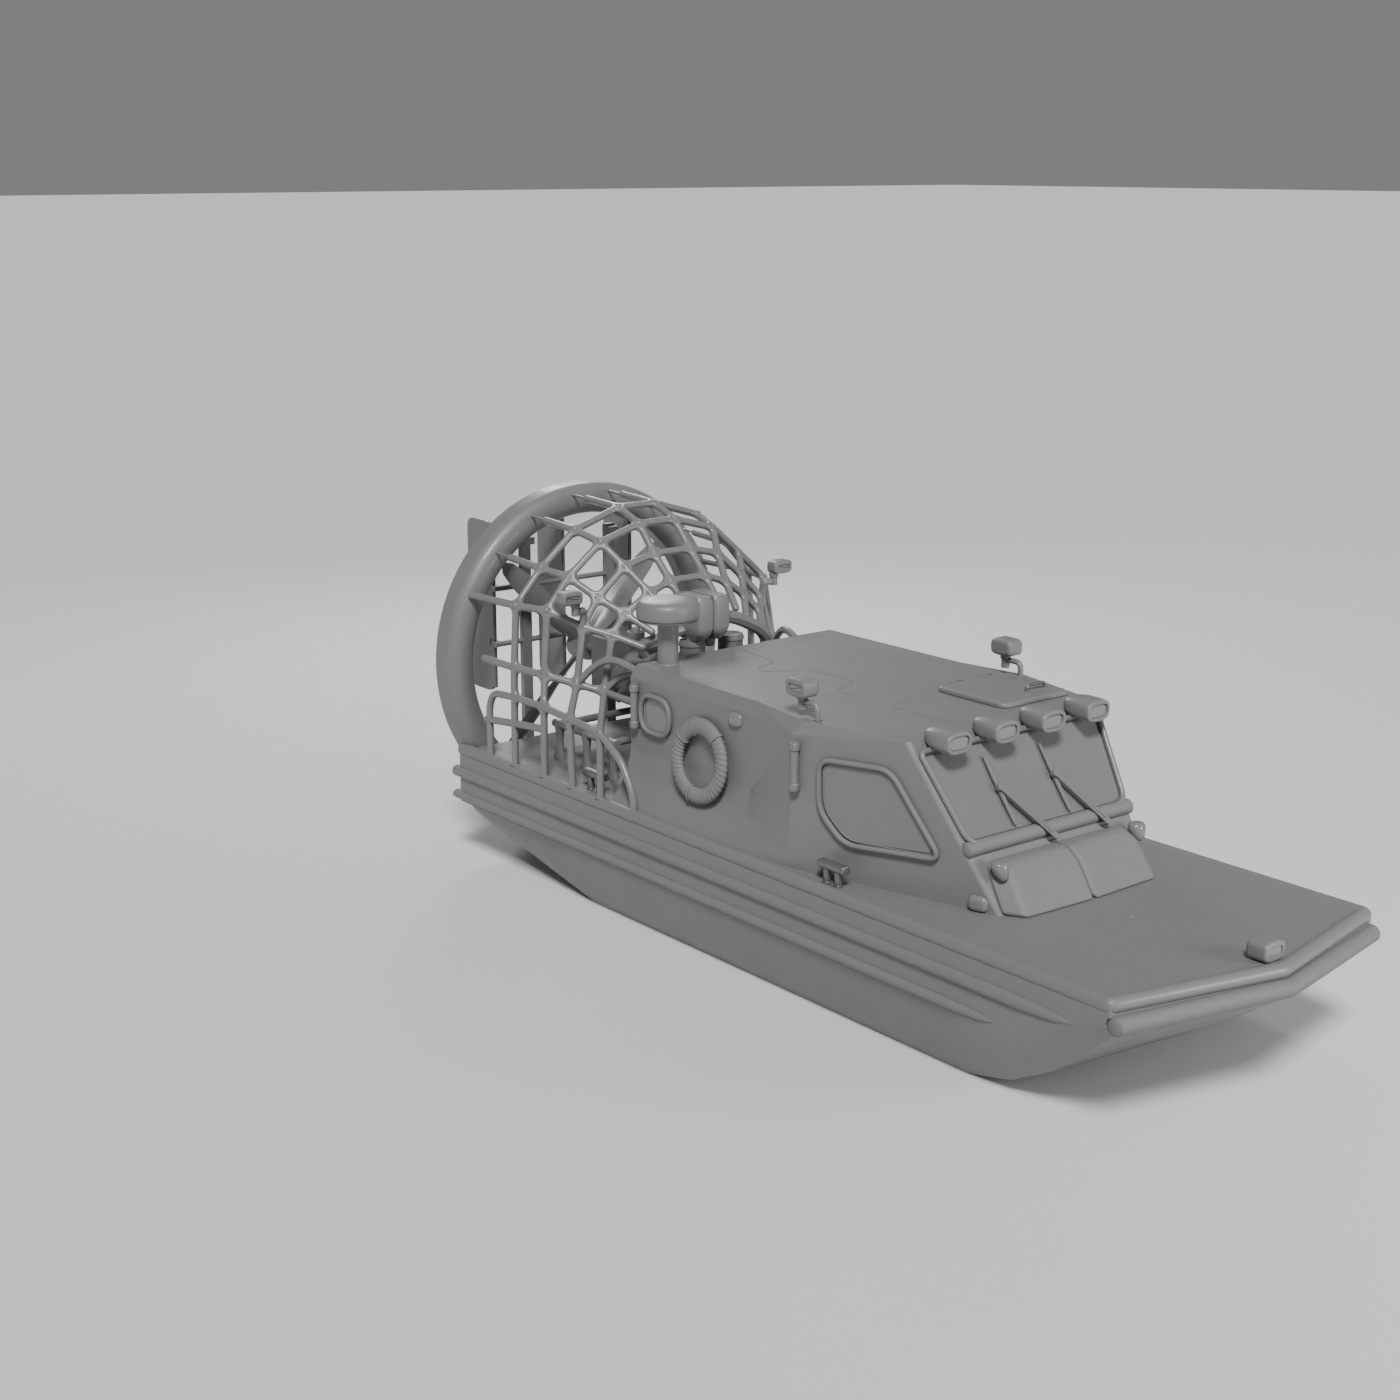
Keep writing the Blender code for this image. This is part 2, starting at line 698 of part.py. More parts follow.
def lamp_body(name, y):
    """A bullet-shaped oval housing whose lens faces forward."""
    rings = []
    for dx, ry, rz, lift in LAMP_ROWS:
        x, z = LAMP_X + dx * LAMP_SCALE, LAMP_Z + lift
        rz *= LAMP_SCALE
        rings.append([(x, y + ry * math.cos(a), z + rz * math.sin(a)) for a in circle(12)])
    return loft(name, rings)


def bezel(name, lens, across, wide, high):
    """A thin raised rim around a lens, whose longer side runs across."""
    turns = ((-wide, -high), (wide, -high), (wide, high), (-wide, high))
    corners = [Vector(lens) + Vector(across) * u + Vector((0, 0, v)) for u, v in turns]
    return as_mesh(tube(name, corners, BEZEL_R, cyclic=True))


def build_light_bar():
    """Four driving lamps on a rail that tops the windshield and bends down at its corners."""
    top_r, top_l, foot_l, foot_r = rim_points()
    path = [elbow_end(top_r, foot_r), top_r, top_l, elbow_end(top_l, foot_l)]
    pieces = [as_mesh(tube("rail", path, FRAME_R, order=0.06, resolution=2))]
    for i, y in enumerate(LAMP_YS):
        foot = ((top_r.x, y, top_r.z), (LAMP_X - 0.09, y, LAMP_Z))
        pieces += [lamp_body(f"lamp_{i}", y), cylinder(f"lamp_foot_{i}", *foot, 0.022, sides=12)]
    union("light_bar", MATS["lamp"], *pieces)


def swivel(name, x, y, top, radius=SWIVEL_R):
    """The stepped two-disc joint under a lamp's head."""
    upper = cylinder(name + "_upper", (x, y, top - 0.026), (x, y, top + 0.012), radius, sides=16)
    lower = cylinder(name + "_lower", (x, y, top - 0.094), (x, y, top - 0.024), radius * 0.82, sides=16)
    return upper, lower


def searchlight(name, x, y, z, sign):
    """A boxy floodlight on a gooseneck, its lens to the side."""
    low = z + HEAD_LIFT - HEAD[2] / 2
    neck = [(x, y, z + 0.0006), (x, y, low - 0.026), (x - HEAD_BACK + 0.03, y, low - 0.034)]
    pieces = [as_mesh(tube(name + "_neck", neck, 0.022, order=0.045))]
    centre = Vector((x - HEAD_BACK, y, z + HEAD_LIFT))
    pieces += swivel(name, centre.x, centre.y, low)
    half = Vector(HEAD) / 2
    pieces.append(as_mesh(box(name + "_head", centre - half, centre + half, bevel=HEAD_BEVEL)))
    lens = centre + Vector((0, sign * half.y, 0))
    pieces.append(bezel(name + "_bezel", lens, (1, 0, 0), 0.055, 0.028))
    union(name, MATS["lamp"], *pieces)


def work_light(name, sign):
    """A floodlight that faces forward, at the end of a neck that belongs to the cage."""
    x, y, z = WORK_PLACE
    centre, half = Vector((x, sign * y, z)), Vector(WORK_HEAD) / 2
    pieces = [as_mesh(box(name, centre - half, centre + half, bevel=HEAD_BEVEL))]
    pieces += swivel(name, x, sign * WORK_SWIVEL_Y, z - half.z)
    lens = centre + Vector((half.x, 0, 0))
    pieces.append(bezel(name + "_bezel", lens, (0, 1, 0), 0.055, 0.026))
    union(name, MATS["lamp"], *pieces)


def hood_lamp(name, sign):
    """A teardrop lamp that hangs on the hood's sloping top edge."""
    x, y, z = HOOD_LAMP
    rings = []
    for dx, dz, r in HOOD_LAMP_ROWS:
        rings.append([(x + dx + r * math.cos(a), sign * y + r * math.sin(a), z + dz) for a in circle(16)])
    return loft(name, rings, MATS["lamp"])


def bow_lamp():
    """A low rounded box on the stem, its lens forward."""
    z = DECK_Z + GAP
    aft, fore, half, height = BOW_LAMP
    body = as_mesh(box("bow_lamp_body", (aft, -half, z), (fore, half, z + height), bevel=HEAD_BEVEL))
    base = box("bow_lamp_base", (aft + 0.02, 0.025 - half, z), (fore - 0.02, half - 0.025, z + 0.05))
    rim = bezel("bow_bezel", (fore, 0, z + 0.055), (0, 1, 0), 0.05, 0.026)
    union("bow_lamp", MATS["lamp"], body, base, rim)


WIPERS = (  # pivot, hub, blade top and blade foot, all on the windshield's plane as (y, z)
    ("wiper_r", (-0.040, 1.276), (-0.330, 1.606), (-0.338, 1.791), (-0.307, 1.399)),
    ("wiper_l", (0.468, 1.276), (0.191, 1.606), (0.186, 1.792), (0.209, 1.398)),
)


def build_wipers():
    """Arms of two rods from a pivot on the panel, and a blade that lies along the glass."""
    out = front_normal()

    def at(spot, lift):
        y, z = spot
        return Vector((front_x(z), y, z)) + out * lift

    for name, pivot, hub, top, foot in WIPERS:
        arm = at(hub, 0.056) - at(pivot, 0.051)
        side = arm.cross(out).normalized() * 0.016
        pieces = [cylinder(f"{name}_pivot", at(pivot, GAP), at(pivot, 0.062), 0.024, sides=12)]
        for k, sign in enumerate((-1, 1)):
            start = at(pivot, 0.051) + side * sign
            pieces.append(cylinder(f"{name}_rod_{k}", start, start + arm, 0.0065, sides=8))
        pieces.append(cylinder(f"{name}_hub", at(hub, 0.020), at(hub, 0.068), 0.028, sides=12))
        pieces.append(cylinder(f"{name}_blade", at(top, 0.026), at(foot, 0.026), 0.012, sides=8))
        union(name, MATS["rubber"], *pieces)


BOLLARD = (0.135, 0.125, 0.032)  # half length, height and radius of the bar
POST = (0.055, 0.022, 0.030)  # x from the middle, half length and half width


def bollard(name, x, y):
    """A cross bar on two short posts."""
    z = DECK_Z + GAP
    reach, height, radius = BOLLARD
    ends = [(x - reach, y, z + height), (x + reach, y, z + height)]
    pieces = [as_mesh(tube(name + "_bar", ends, radius, resolution=2))]
    dx, long, wide = POST
    for centre in (x - dx, x + dx):
        low, high = (centre - long, y - wide, z), (centre + long, y + wide, z + height - 0.005)
        pieces.append(box(f"{name}_post_{centre}", low, high))
    union(name, MATS["deck_metal"], *pieces)


BUOY = (-0.403, -1.0618, 1.438)
BUOY_RING = (0.252, 0.057, 0.036)  # mean radius, half width and half thickness of its section
BUOY_LEAN = math.radians(5.8)  # its foot stands off, on the cabin's flared skirt


def build_lifebuoy():
    """A ring with a flattened section that leans on the starboard wall."""
    radius, wide, thick = BUOY_RING
    section = [(radius + wide * math.cos(t), thick * math.sin(t)) for t in circle(10)]
    rings = [[(r * math.cos(a), h, r * math.sin(a)) for r, h in section] for a in circle(28)]
    obj = loft("lifebuoy", rings + [rings[0]], MATS["buoy"], close_ends=False)
    weld(obj.data)
    obj.data.transform(Matrix.Translation(BUOY) @ Matrix.Rotation(-BUOY_LEAN, 4, "X"))


INTAKE = (-1.149, -0.766, 1.9706)
INTAKE_PROFILE = (  # radius, height
    (0.0, 0.500), (0.12, 0.497), (0.185, 0.480), (0.222, 0.450), (0.235, 0.415), (0.233, 0.370),
    (0.220, 0.345), (0.222, 0.333), (0.205, 0.325), (0.080, 0.320), (0.078, 0.300), (0.078, 0.0), (0.0, 0.0),
)


def build_intake():
    """A mushroom cap over a narrow stem on the roof's aft starboard corner."""
    bm = bmesh.new()
    verts = [bm.verts.new((r, 0, h)) for r, h in INTAKE_PROFILE]
    for a, b in zip(verts, verts[1:]):
        bm.edges.new((a, b))
    data = bpy.data.meshes.new("air_intake")
    bm.to_mesh(data)
    bm.free()
    obj = add("air_intake", data, MATS["lamp"])
    obj.location = INTAKE
    mod = obj.modifiers.new("Turn", "SCREW")
    mod.steps = mod.render_steps = 20
    mod.use_merge_vertices = True
    mod.merge_threshold = 1e-5


# Drive


def build_duct():
    half, out, inn = DUCT_HALF, DUCT_OUT, DUCT_IN
    profile = []
    for k in range(9):  # outer face, aft edge to fore edge
        a = math.pi * k / 8
        profile.append((-half * math.cos(a), out - 0.045 * (1 - math.sin(a))))
    profile += [(half, out - 0.12), (half - 0.02, inn + 0.03), (half - 0.06, inn),
                (-half + 0.03, inn), (-half, inn + 0.02)]
    rings = []
    for a in circle(56):
        rings.append([(DUCT_X + x, r * math.sin(a), SHAFT_Z + r * math.cos(a)) for x, r in profile])
    duct = loft("duct", rings + [rings[0]], MATS["duct"], close_ends=False)
    weld(duct.data)
    below = box("below_duct", (-4.2, -2, -1), (-2, 2, DUCT_CUT_Z), coll=CUTTERS)
    cut(duct, below)
    return duct


BLADE_ROWS = (  # radius, chord, thickness, pitch in degrees
    (0.07, 0.11, 0.050, 62), (0.30, 0.17, 0.036, 44), (0.60, 0.20, 0.026, 28),
    (0.90, 0.17, 0.018, 20), (1.05, 0.12, 0.012, 17), (BLADE_TIP, 0.05, 0.008, 16),
)
BLADE_SECTION = ((-0.5, 0.0), (-0.2, 0.5), (0.2, 0.5), (0.5, 0.0), (0.2, -0.5), (-0.2, -0.5))


def blade(name, angle):
    """One blade: twisted, widest at mid span, drawn to a rounded tip."""
    rings = []
    for r, chord, thick, pitch in BLADE_ROWS:
        s, c = math.sin(math.radians(pitch)), math.cos(math.radians(pitch))
        section = [(u * chord, v * thick) for u, v in BLADE_SECTION]
        rings.append([(u * s + v * c, u * c - v * s, r) for u, v in section])
    obj = loft(name, rings)
    obj.data.transform(Matrix.Rotation(angle, 4, "X"))
    return obj


def build_propeller():
    hub_x = DUCT_X
    pieces = [cylinder("hub", (-0.09, 0, 0), (0.09, 0, 0), 0.115, sides=24),
              cylinder("spinner", (-0.17, 0, 0), (-0.085, 0, 0), 0.05, sides=24, radius2=0.105),
              cylinder("shaft", (0.08, 0, 0), (0.375, 0, 0), SHAFT_R, sides=32)]
    for i in range(4):
        pieces.append(blade(f"blade_{i}", math.pi / 4 + i * math.pi / 2))
    prop = union("propeller", MATS["blade"], *pieces)
    prop.location = (hub_x, 0, SHAFT_Z)


def rudder_frame(x):
    """Two columns and two crossbars with a lug for each rudder's pin."""
    frame = []
    for y in (-0.43, 0.43):
        frame.append(box(f"column_{y}", (x - 0.025, y - 0.045, 0.36), (x + 0.025, y + 0.045, 2.58)))
        frame.append(box(f"foot_{y}", (x - 0.02, y - 0.05, 0.365), (TRANSOM_X - GAP, y + 0.05, 0.405)))
        shoe = ((x - 0.02, y - 0.05, 2.50), (DUCT_X - DUCT_HALF - GAP, y + 0.05, 2.56))
        frame.append(box(f"shoe_{y}", *shoe))
    for z in CROSSBARS_Z:
        frame.append(as_mesh(tube(f"crossbar_{z}", [(x, -0.74, z), (x, 0.74, z)], 0.024, resolution=2)))
        for y in RUDDER_YS:
            lug = ((RUDDER_X - 0.022, y - 0.022, z - 0.02), (x, y + 0.022, z + 0.02))
            frame.append(box(f"lug_{y}_{z}", *lug))
    return union("rudder_frame", MATS["tube"], *frame)


def build_rudders():
    """Three plates on pins that turn in lugs, which two columns and two crossbars carry."""
    x, z0, z1 = FRAME_X, *RUDDER_Z
    body = rudder_frame(x)
    for y in RUDDER_YS:
        ends = ((RUDDER_X, y, z0), (RUDDER_X, y, z1))
        cut(body, cylinder(f"pin_hole_{y}", *ends, 0.0108, coll=CUTTERS, sides=12))
    low, high = CROSSBARS_Z
    spans = ((z0 + 0.04, low - 0.025), (low + 0.025, high - 0.025), (high + 0.025, z1 - 0.04))
    for name, y in zip(("rudder_r", "rudder_c", "rudder_l"), RUDDER_YS):
        tail = RUDDER_TAIL - RUDDER_X
        corners = [(tail, 0, z0), (-0.010, 0, z0), (-0.010, 0, z1), (tail, 0, z1)]
        path = rounded([Vector(c) for c in corners], 0.09, cyclic=True)
        plate = loft(f"{name}_plate", [[p + Vector((0, dy, 0)) for p in path] for dy in (-0.014, 0.014)])
        for z in CROSSBARS_Z:
            room = ((-0.05, -0.05, z - 0.026), (0.05, 0.05, z + 0.026))
            boolean(plate, box(f"{name}_slot_{z}", *room, coll=CUTTERS), "DIFFERENCE")
        plate = as_mesh(plate)
        pieces = [plate]
        for a, b in spans:
            pieces.append(cylinder(f"{name}_post_{a}", (0, 0, a), (0, 0, b), 0.018, sides=12))
        pieces.append(cylinder(f"{name}_pin", (0, 0, z0 + 0.10), (0, 0, z1 - 0.10), 0.010, sides=12))
        obj = union(name, MATS["rudder"], *pieces)
        obj.location = (RUDDER_X, y, 0)
        for z in CROSSBARS_Z:
            bpy.data.objects.remove(bpy.data.objects[f"{name}_slot_{z}"], do_unlink=True)


# Engine


BLOCK = (-2.42, -1.66, 1.262, 1.56)  # aft x, fore x, bottom z, top z
BLOCK_HALF = 0.165
BANK_LEAN = math.radians(38)
BANK = (0.145, 1.560)  # |y|, z of the middle of a cylinder bank
COVER = (0.218, 1.655)  # and of its valve cover
CYLINDER_PITCH = 0.157
PULLEYS = (  # name, y, z, radius
    ("crank_pulley", 0.0, 1.385, 0.085), ("pump_pulley", -0.01, 1.583, 0.062),
    ("alternator", 0.165, 1.620, 0.060),
)
TANK = (-2.22, -0.270, 1.62, 1.96)  # x, y, z low, z high
COOLER = (-1.96, -0.40, 1.83)
GEARBOX = (-3.00, -2.72)  # aft x, fore x
PLENUM = (-1.845, -1.50, 0.290, 1.7135, 1.800)  # aft x, fore x, half width, bottom z, top z
CANISTERS = ((-1.62, -0.170), (-1.62, 0.210))
STAND_Z = 1.2317
STAND_Y = 0.82
STAND_XS = (-2.500, -2.130, -1.785)
STAND_R = 0.030


def turned_box(name, size, centre, angle, bevel=0.012):
    """A box turned about the x axis, then set in place."""
    half = Vector(size) / 2
    block = as_mesh(box(name, -half, half, bevel=bevel, segments=2))
    block.data.transform(Matrix.Translation(centre) @ Matrix.Rotation(angle, 4, "X"))
    return block


def cylinder_bank(sign):
    """One side of the V: its bank, its cover, the inlet runners, the exhaust ports and the header."""
    aft, fore = BLOCK[:2]
    mid, long = (aft + fore) / 2, fore - aft
    lean = -sign * BANK_LEAN
    bank, cover = (mid, sign * BANK[0], BANK[1]), (mid, sign * COVER[0], COVER[1])
    pieces = [turned_box(f"bank_{sign}", (long - 0.06, 0.150, 0.26), bank, lean),
              turned_box(f"cover_{sign}", (long - 0.10, 0.120, 0.08), cover, lean, 0.025)]
    for k in range(4):
        x = mid + (k - 1.5) * CYLINDER_PITCH
        runner = [(x, sign * 0.16, 1.58), (x, sign * 0.105, 1.69), (x, sign * 0.03, 1.705)]
        pieces.append(as_mesh(tube(f"runner_{k}_{sign}", runner, 0.029)))
        port = ((x, sign * 0.20, 1.52), (x, sign * 0.285, 1.475))
        pieces.append(cylinder(f"port_{k}_{sign}", *port, 0.024, sides=6))
    y = sign * 0.285
    header = [(fore - 0.12, y, 1.475), (aft + 0.06, y, 1.455), (aft - 0.02, y, 1.36)]
    pieces.append(as_mesh(tube(f"header_{sign}", header, 0.036, order=0.05)))
    return pieces


def build_engine():
    """An open V engine, its crank in line with the boat: block, banks, plenum, pulleys and tank."""
    aft, fore, low, high = BLOCK
    pieces = [box("block", (aft, -BLOCK_HALF, low), (fore, BLOCK_HALF, high), bevel=0.02)]
    pieces.append(box("sump", (-2.08, -0.11, 1.09), (-1.84, 0.11, low + 0.02), bevel=0.015))
    pieces += cylinder_bank(-1) + cylinder_bank(1)
    pieces.append(box("manifold", (aft + 0.10, -0.078, 1.55), (fore - 0.063, 0.078, 1.757), bevel=0.02))
    x0, x1, half, z0, z1 = PLENUM
    pieces.append(box("plenum", (x0, -half, z0), (x1, half, z1), bevel=0.012))
    pieces.append(box("front_case", (fore - 0.02, -0.15, 1.31), (fore + 0.05, 0.15, z0 + 0.02), bevel=0.015))
    for name, y, z, r in PULLEYS:
        pieces.append(cylinder(name, (fore + 0.03, y, z), (fore + 0.115, y, z), r))
    bell = ((GEARBOX[1] + GAP, 0, 1.45), (aft + 0.02, 0, 1.45))
    pieces.append(cylinder("bell_housing", *bell, 0.150, radius2=0.175))
    x, y, bottom, top = TANK
    pieces.append(cylinder("tank", (x, y, bottom), (x, y, top), 0.075))
    pieces.append(cylinder("tank_cap", (x, y, top - 0.01), (x, y, top + 0.03), 0.045, radius2=0.035))
    x, y, z = COOLER
    pieces.append(turned_box("cooler", (0.30, 0.30, 0.055), COOLER, math.radians(35)))
    foot = ((x, y + 0.015, z - 0.008), (x, y + 0.195, z - 0.188))
    pieces.append(cylinder("cooler_foot", *foot, 0.025, sides=10))
    union("engine", MATS["engine"], *[as_mesh(p) if p.modifiers else p for p in pieces])


def build_stand():
    """A wide trestle of tube: flared feet out on the deck, two side rails and three cross members."""
    z0 = DECK_Z + GAP
    profile = ((z0, 0.056), (z0 + 0.02, 0.052), (z0 + 0.07, 0.031),
               (STAND_Z - 0.11, 0.029), (STAND_Z - 0.03, 0.041), (STAND_Z + 0.012, 0.043))
    pieces = []
    for y in (-STAND_Y, STAND_Y):
        rail = [(STAND_XS[0] - 0.07, y, STAND_Z), (STAND_XS[-1] + 0.06, y, STAND_Z)]
        pieces.append(cylinder(f"side_rail_{y}", *rail, STAND_R + 0.002, sides=10))
        for x in STAND_XS:
            rings = [[(x + r * math.cos(a), y + r * math.sin(a), z) for a in circle(8)] for z, r in profile]
            pieces.append(loft(f"leg_{x}_{y}", rings))
    reach = STAND_Y + 0.024
    for x in STAND_XS[::2]:
        pieces.append(cylinder(f"cross_{x}", (x, -reach, STAND_Z), (x, reach, STAND_Z), STAND_R, sides=12))
    union("engine_stand", MATS["tube"], *pieces)


def build_gearbox():
    aft, fore = GEARBOX
    gearbox = box("gearbox", (aft, -0.16, 1.30), (fore, 0.16, 1.78), MATS["engine"], bevel=0.02)
    bore = ((aft - 0.10, 0, SHAFT_Z), (aft + 0.06, 0, SHAFT_Z))
    cut(gearbox, cylinder("shaft_bore", *bore, SHAFT_R + 2 * GAP, coll=CUTTERS, sides=32))


WIDE_HOSE = (  # from the port air box round to the plenum's side
    (-1.55, 0.03, 2.170), (-1.57, 0.26, 2.105), (-1.60, 0.50, 1.985), (-1.62, 0.60, 1.870),
    (-1.65, 0.55, 1.765), (-1.67, 0.42, 1.757), (-1.67, PLENUM[2] + 0.001, 1.757),
)
SLIM_HOSE = (  # from the starboard air box down onto the cooler
    (-1.62, -0.22, 2.08), (-1.70, -0.34, 2.03), (-1.80, -0.44, 1.985), (-1.88, -0.4774, 1.9315),
    (-1.88, -0.4204, 1.8501),
)
AIR_BOX_ROWS = (  # z, half length, half width
    (2.000, 0.125, 0.045), (2.050, 0.168, 0.068), (2.100, 0.180, 0.080), (2.300, 0.180, 0.080),
    (2.345, 0.160, 0.066),
)


def build_air_cleaner():
    """Two air boxes side by side over two round canisters, with the hoses that leave them."""
    top = PLENUM[4] + GAP
    pieces = []
    for i, (x, y) in enumerate(CANISTERS):
        pieces.append(cylinder(f"canister_{i}", (x, y, top), (x, y, 1.985), 0.100, sides=18))
        pieces.append(cylinder(f"rim_{i}", (x, y, 1.945), (x, y, 1.968), 0.108, sides=18))
    for i, y in enumerate((-0.180, -0.021)):
        pieces.append(as_mesh(air_box(f"air_box_{i}", y)))
        pieces.append(cylinder(f"box_neck_{i}", (-1.61, y, 1.93), (-1.60, y, 2.03), 0.050, sides=14))
    pieces.append(as_mesh(tube("wide_hose", WIDE_HOSE, 0.052, order=0.08, resolution=2)))
    pieces.append(as_mesh(tube("slim_hose", SLIM_HOSE, 0.040, order=0.06, resolution=2)))
    union("air_cleaner", MATS["lamp"], *pieces)


def air_box(name, y):
    """A tall rounded box whose foot tapers in."""
    rings = []
    for z, dx, dy in AIR_BOX_ROWS:
        signs = ((-1, -1), (1, -1), (1, 1), (-1, 1))
        corners = [Vector((-1.60 + sx * dx, y + sy * dy, z)) for sx, sy in signs]
        rings.append(rounded(corners, 0.045, cyclic=True, steps=3))
    return loft(name, rings)


# Cage


CAGE_R = 0.022
FOOT_Z = DECK_Z + GAP
# Each hoop from the gunwale to the crown: foot, C, B, A, then three more bars of the dome.
HOOPS = (
    ((-2.55, 1.215, FOOT_Z), (-2.56, 1.205, 1.500), (-2.56, 1.200, 1.740), (-2.56, 1.170, 2.230),
     (-2.56, 0.930, 2.495), (-2.55, 0.610, 2.766), (-2.56, 0.178, 2.900)),
    ((-2.14, 1.215, FOOT_Z), (-2.15, 1.205, 1.505), (-2.22, 1.145, 1.735), (-2.26, 1.085, 2.228),
     (-2.30, 0.853, 2.454), (-2.28, 0.559, 2.698), (-2.29, 0.175, 2.804)),
    ((-1.76, 1.215, FOOT_Z), (-1.78, 1.222, 1.490), (-2.015, 0.985, 1.680), (-2.056, 0.896, 2.110),
     (-2.10, 0.721, 2.306), (-2.096, 0.464, 2.524), (-2.094, 0.178, 2.593)),
    ((-1.40, 1.215, FOOT_Z), (-1.41, 1.205, 1.455), (-1.86, 0.840, 1.625), (-1.893, 0.737, 2.050),
     (-1.92, 0.595, 2.192), (-1.888, 0.379, 2.338), (-1.897, 0.172, 2.406)),
)
LOW_RAIL = ((-2.945, 1.215, 1.245), (-2.906, 1.215, 1.250), (-2.554, 1.210, 1.290), (-2.144, 1.210, 1.330))
TIPS = {  # the free fore end of each long bar, by its place along a hoop
    3: (-1.700, 0.585, 1.969), 4: (-1.740, 0.470, 2.070),
    5: (-1.690, 0.320, 2.160), 6: (-1.840, 0.170, 2.352),
}
AFT_STUBS = {3: (1.190, 2.217), 4: (0.935, 2.530), 5: (0.585, 2.790), 6: (0.180, 2.925)}  # |y|, z
STAYS = (  # from a hoop's B node to the cabin's aft wall
    (2, ((-1.900, 0.930, 1.815), (-1.800, 0.895, 1.888), (-1.690, 0.856, 1.912), (-1.520, 0.815, 1.870),
         (-1.350, 0.785, 1.815))),
    (3, ((-1.800, 0.775, 1.720), (-1.680, 0.750, 1.784), (-1.500, 0.725, 1.825), (-1.350, 0.715, 1.842))),
    (3, ((-1.660, 0.860, 1.628), (-1.350, 0.868, 1.630))),
)


def build_cage():
    """One welded lattice of bars: hoops, long bars, the bent end posts and the stays to the cabin."""
    verts, edges, index = [], [], {}

    def node(p):
        key = tuple(round(c, 4) for c in p)
        if key not in index:
            index[key] = len(verts)
            verts.append(p)
        return index[key]

    def bar(*points):
        ids = [node(p) for p in points]
        for a, b in zip(ids, ids[1:]):
            if (min(a, b), max(a, b)) not in edges:
                edges.append((min(a, b), max(a, b)))

    duct_face = DUCT_X + DUCT_HALF + 0.012 + CAGE_R
    for s in (-1, 1):
        side = [[(x, s * y, z) for x, y, z in hoop] for hoop in HOOPS]
        low = [(x, s * y, z) for x, y, z in LOW_RAIL]
        for i, hoop in enumerate(side):
            x, y, z = hoop[0]
            post = [hoop[0], (x, y, z + 0.07)] + ([low[i + 2]] if i < 2 else [])
            bar(*post, *hoop[1:])
        for k in range(1, 7):
            bar(*[hoop[k] for hoop in side])
        for k, (y, z) in AFT_STUBS.items():
            bar((duct_face, s * y, z), side[0][k])
        for k, (x, y, z) in TIPS.items():
            bar(side[3][k], (x, s * y, z))
        bar((-2.93, s * 1.235, 1.750), side[0][2])
        bar((-2.90, s * 1.215, FOOT_Z), (-2.90, s * 1.215, 1.02), low[1], (-2.91, s * 1.215, 1.36),
            (-2.85, s * 1.210, 1.48), side[0][1])
        bar(*low)
        bar(side[3][1], (-1.15, s * 1.205, 1.30), (-1.02, s * 1.210, 1.12), (-0.98, s * 1.215, 1.02),
            (-0.98, s * 1.215, FOOT_Z))
        for hoop, points in STAYS:
            path = [(x, s * y, z) for x, y, z in points]
            bar(side[hoop][2], *path, (CABIN_AFT - GAP, *path[-1][1:]))
        x, y, z = WORK_PLACE
        neck_z = z - WORK_HEAD[2] / 2 - 0.062
        bar(side[2][3], (-2.040, s * 0.900, 2.220), (x - 0.006, s * 0.908, neck_z),
            (x, s * (WORK_SWIVEL_Y - SWIVEL_R * 0.82 - GAP), neck_z))
    for hoop in HOOPS:
        bar((hoop[6][0], -hoop[6][1], hoop[6][2]), (hoop[6][0], hoop[6][1], hoop[6][2]))
    data = bpy.data.meshes.new("cage")
    data.from_pydata(verts, edges, [])
    cage = add("cage", data, MATS["tube"])
    skin = cage.modifiers.new("Skin", "SKIN")
    skin.use_smooth_shade = True
    skin.branch_smoothing = 0.3
    for v in data.skin_vertices[0].data if data.skin_vertices else []:
        v.radius = (CAGE_R, CAGE_R)
    return cage


# Assembly


def main():
    global PARTS, CUTTERS, MATS
    clear()
    PARTS = new_collection("airboat")
    CUTTERS = new_collection("cutters")
    MATS = {
        "hull": material("hull", GREY, 0.45), "cabin": material("cabin", GREY, 0.45),
        "rubber": material("rubber", DARK, 0.7), "glass": material("glass", TINT, 0.08, alpha=0.5),
        "window_frame": material("window_frame", DARK, 0.5), "hood": material("hood", PALE, 0.5),
        "lamp": material("lamp", PALE, 0.4), "deck_metal": material("deck_metal", TUBE, 0.4, 0.6),
        "buoy": material("buoy", PALE, 0.6), "duct": material("duct", GREY, 0.45),
        "blade": material("blade", BLACK, 0.35), "tube": material("tube", TUBE, 0.4, 0.4),
        "rudder": material("rudder", GREY, 0.45), "engine": material("engine", DARK, 0.5, 0.4),
    }
    build_hull()
    build_cabin()
    build_door()
    build_hatch()
    build_hood()
    build_light_bar()
    for name, sign in (("searchlight_r", -1), ("searchlight_l", 1)):
        searchlight(name, 0.757, sign * 0.975, ROOF_Z, sign)
    for name, sign in (("work_light_r", -1), ("work_light_l", 1)):
        work_light(name, sign)
    for tag, sign in (("r", -1), ("l", 1)):
        bollard(f"bollard_fore_{tag}", 1.12, sign * 1.14)
        bollard(f"bollard_aft_{tag}", -1.60, sign * 1.12)
    bow_lamp()
    build_wipers()
    build_lifebuoy()
    build_intake()
    build_duct()
    build_propeller()
    build_rudders()
    build_engine()
    build_stand()
    build_gearbox()
    build_air_cleaner()
    build_cage()


main()
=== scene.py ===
# %% [markdown]
# # A grey airboat, dressed for its portrait
# The boat's bodies, joints and sizes come from the packed model, which is loaded here and never
# changed. What this lesson adds is the surface of each piece: its rounded edges, its small parts
# and its finish. Everything is in metres, with +X to the bow, +Y to port and +Z up.

# %% Load the frame
import json
import math

import bmesh
import bpy
from mathutils import Matrix, Vector


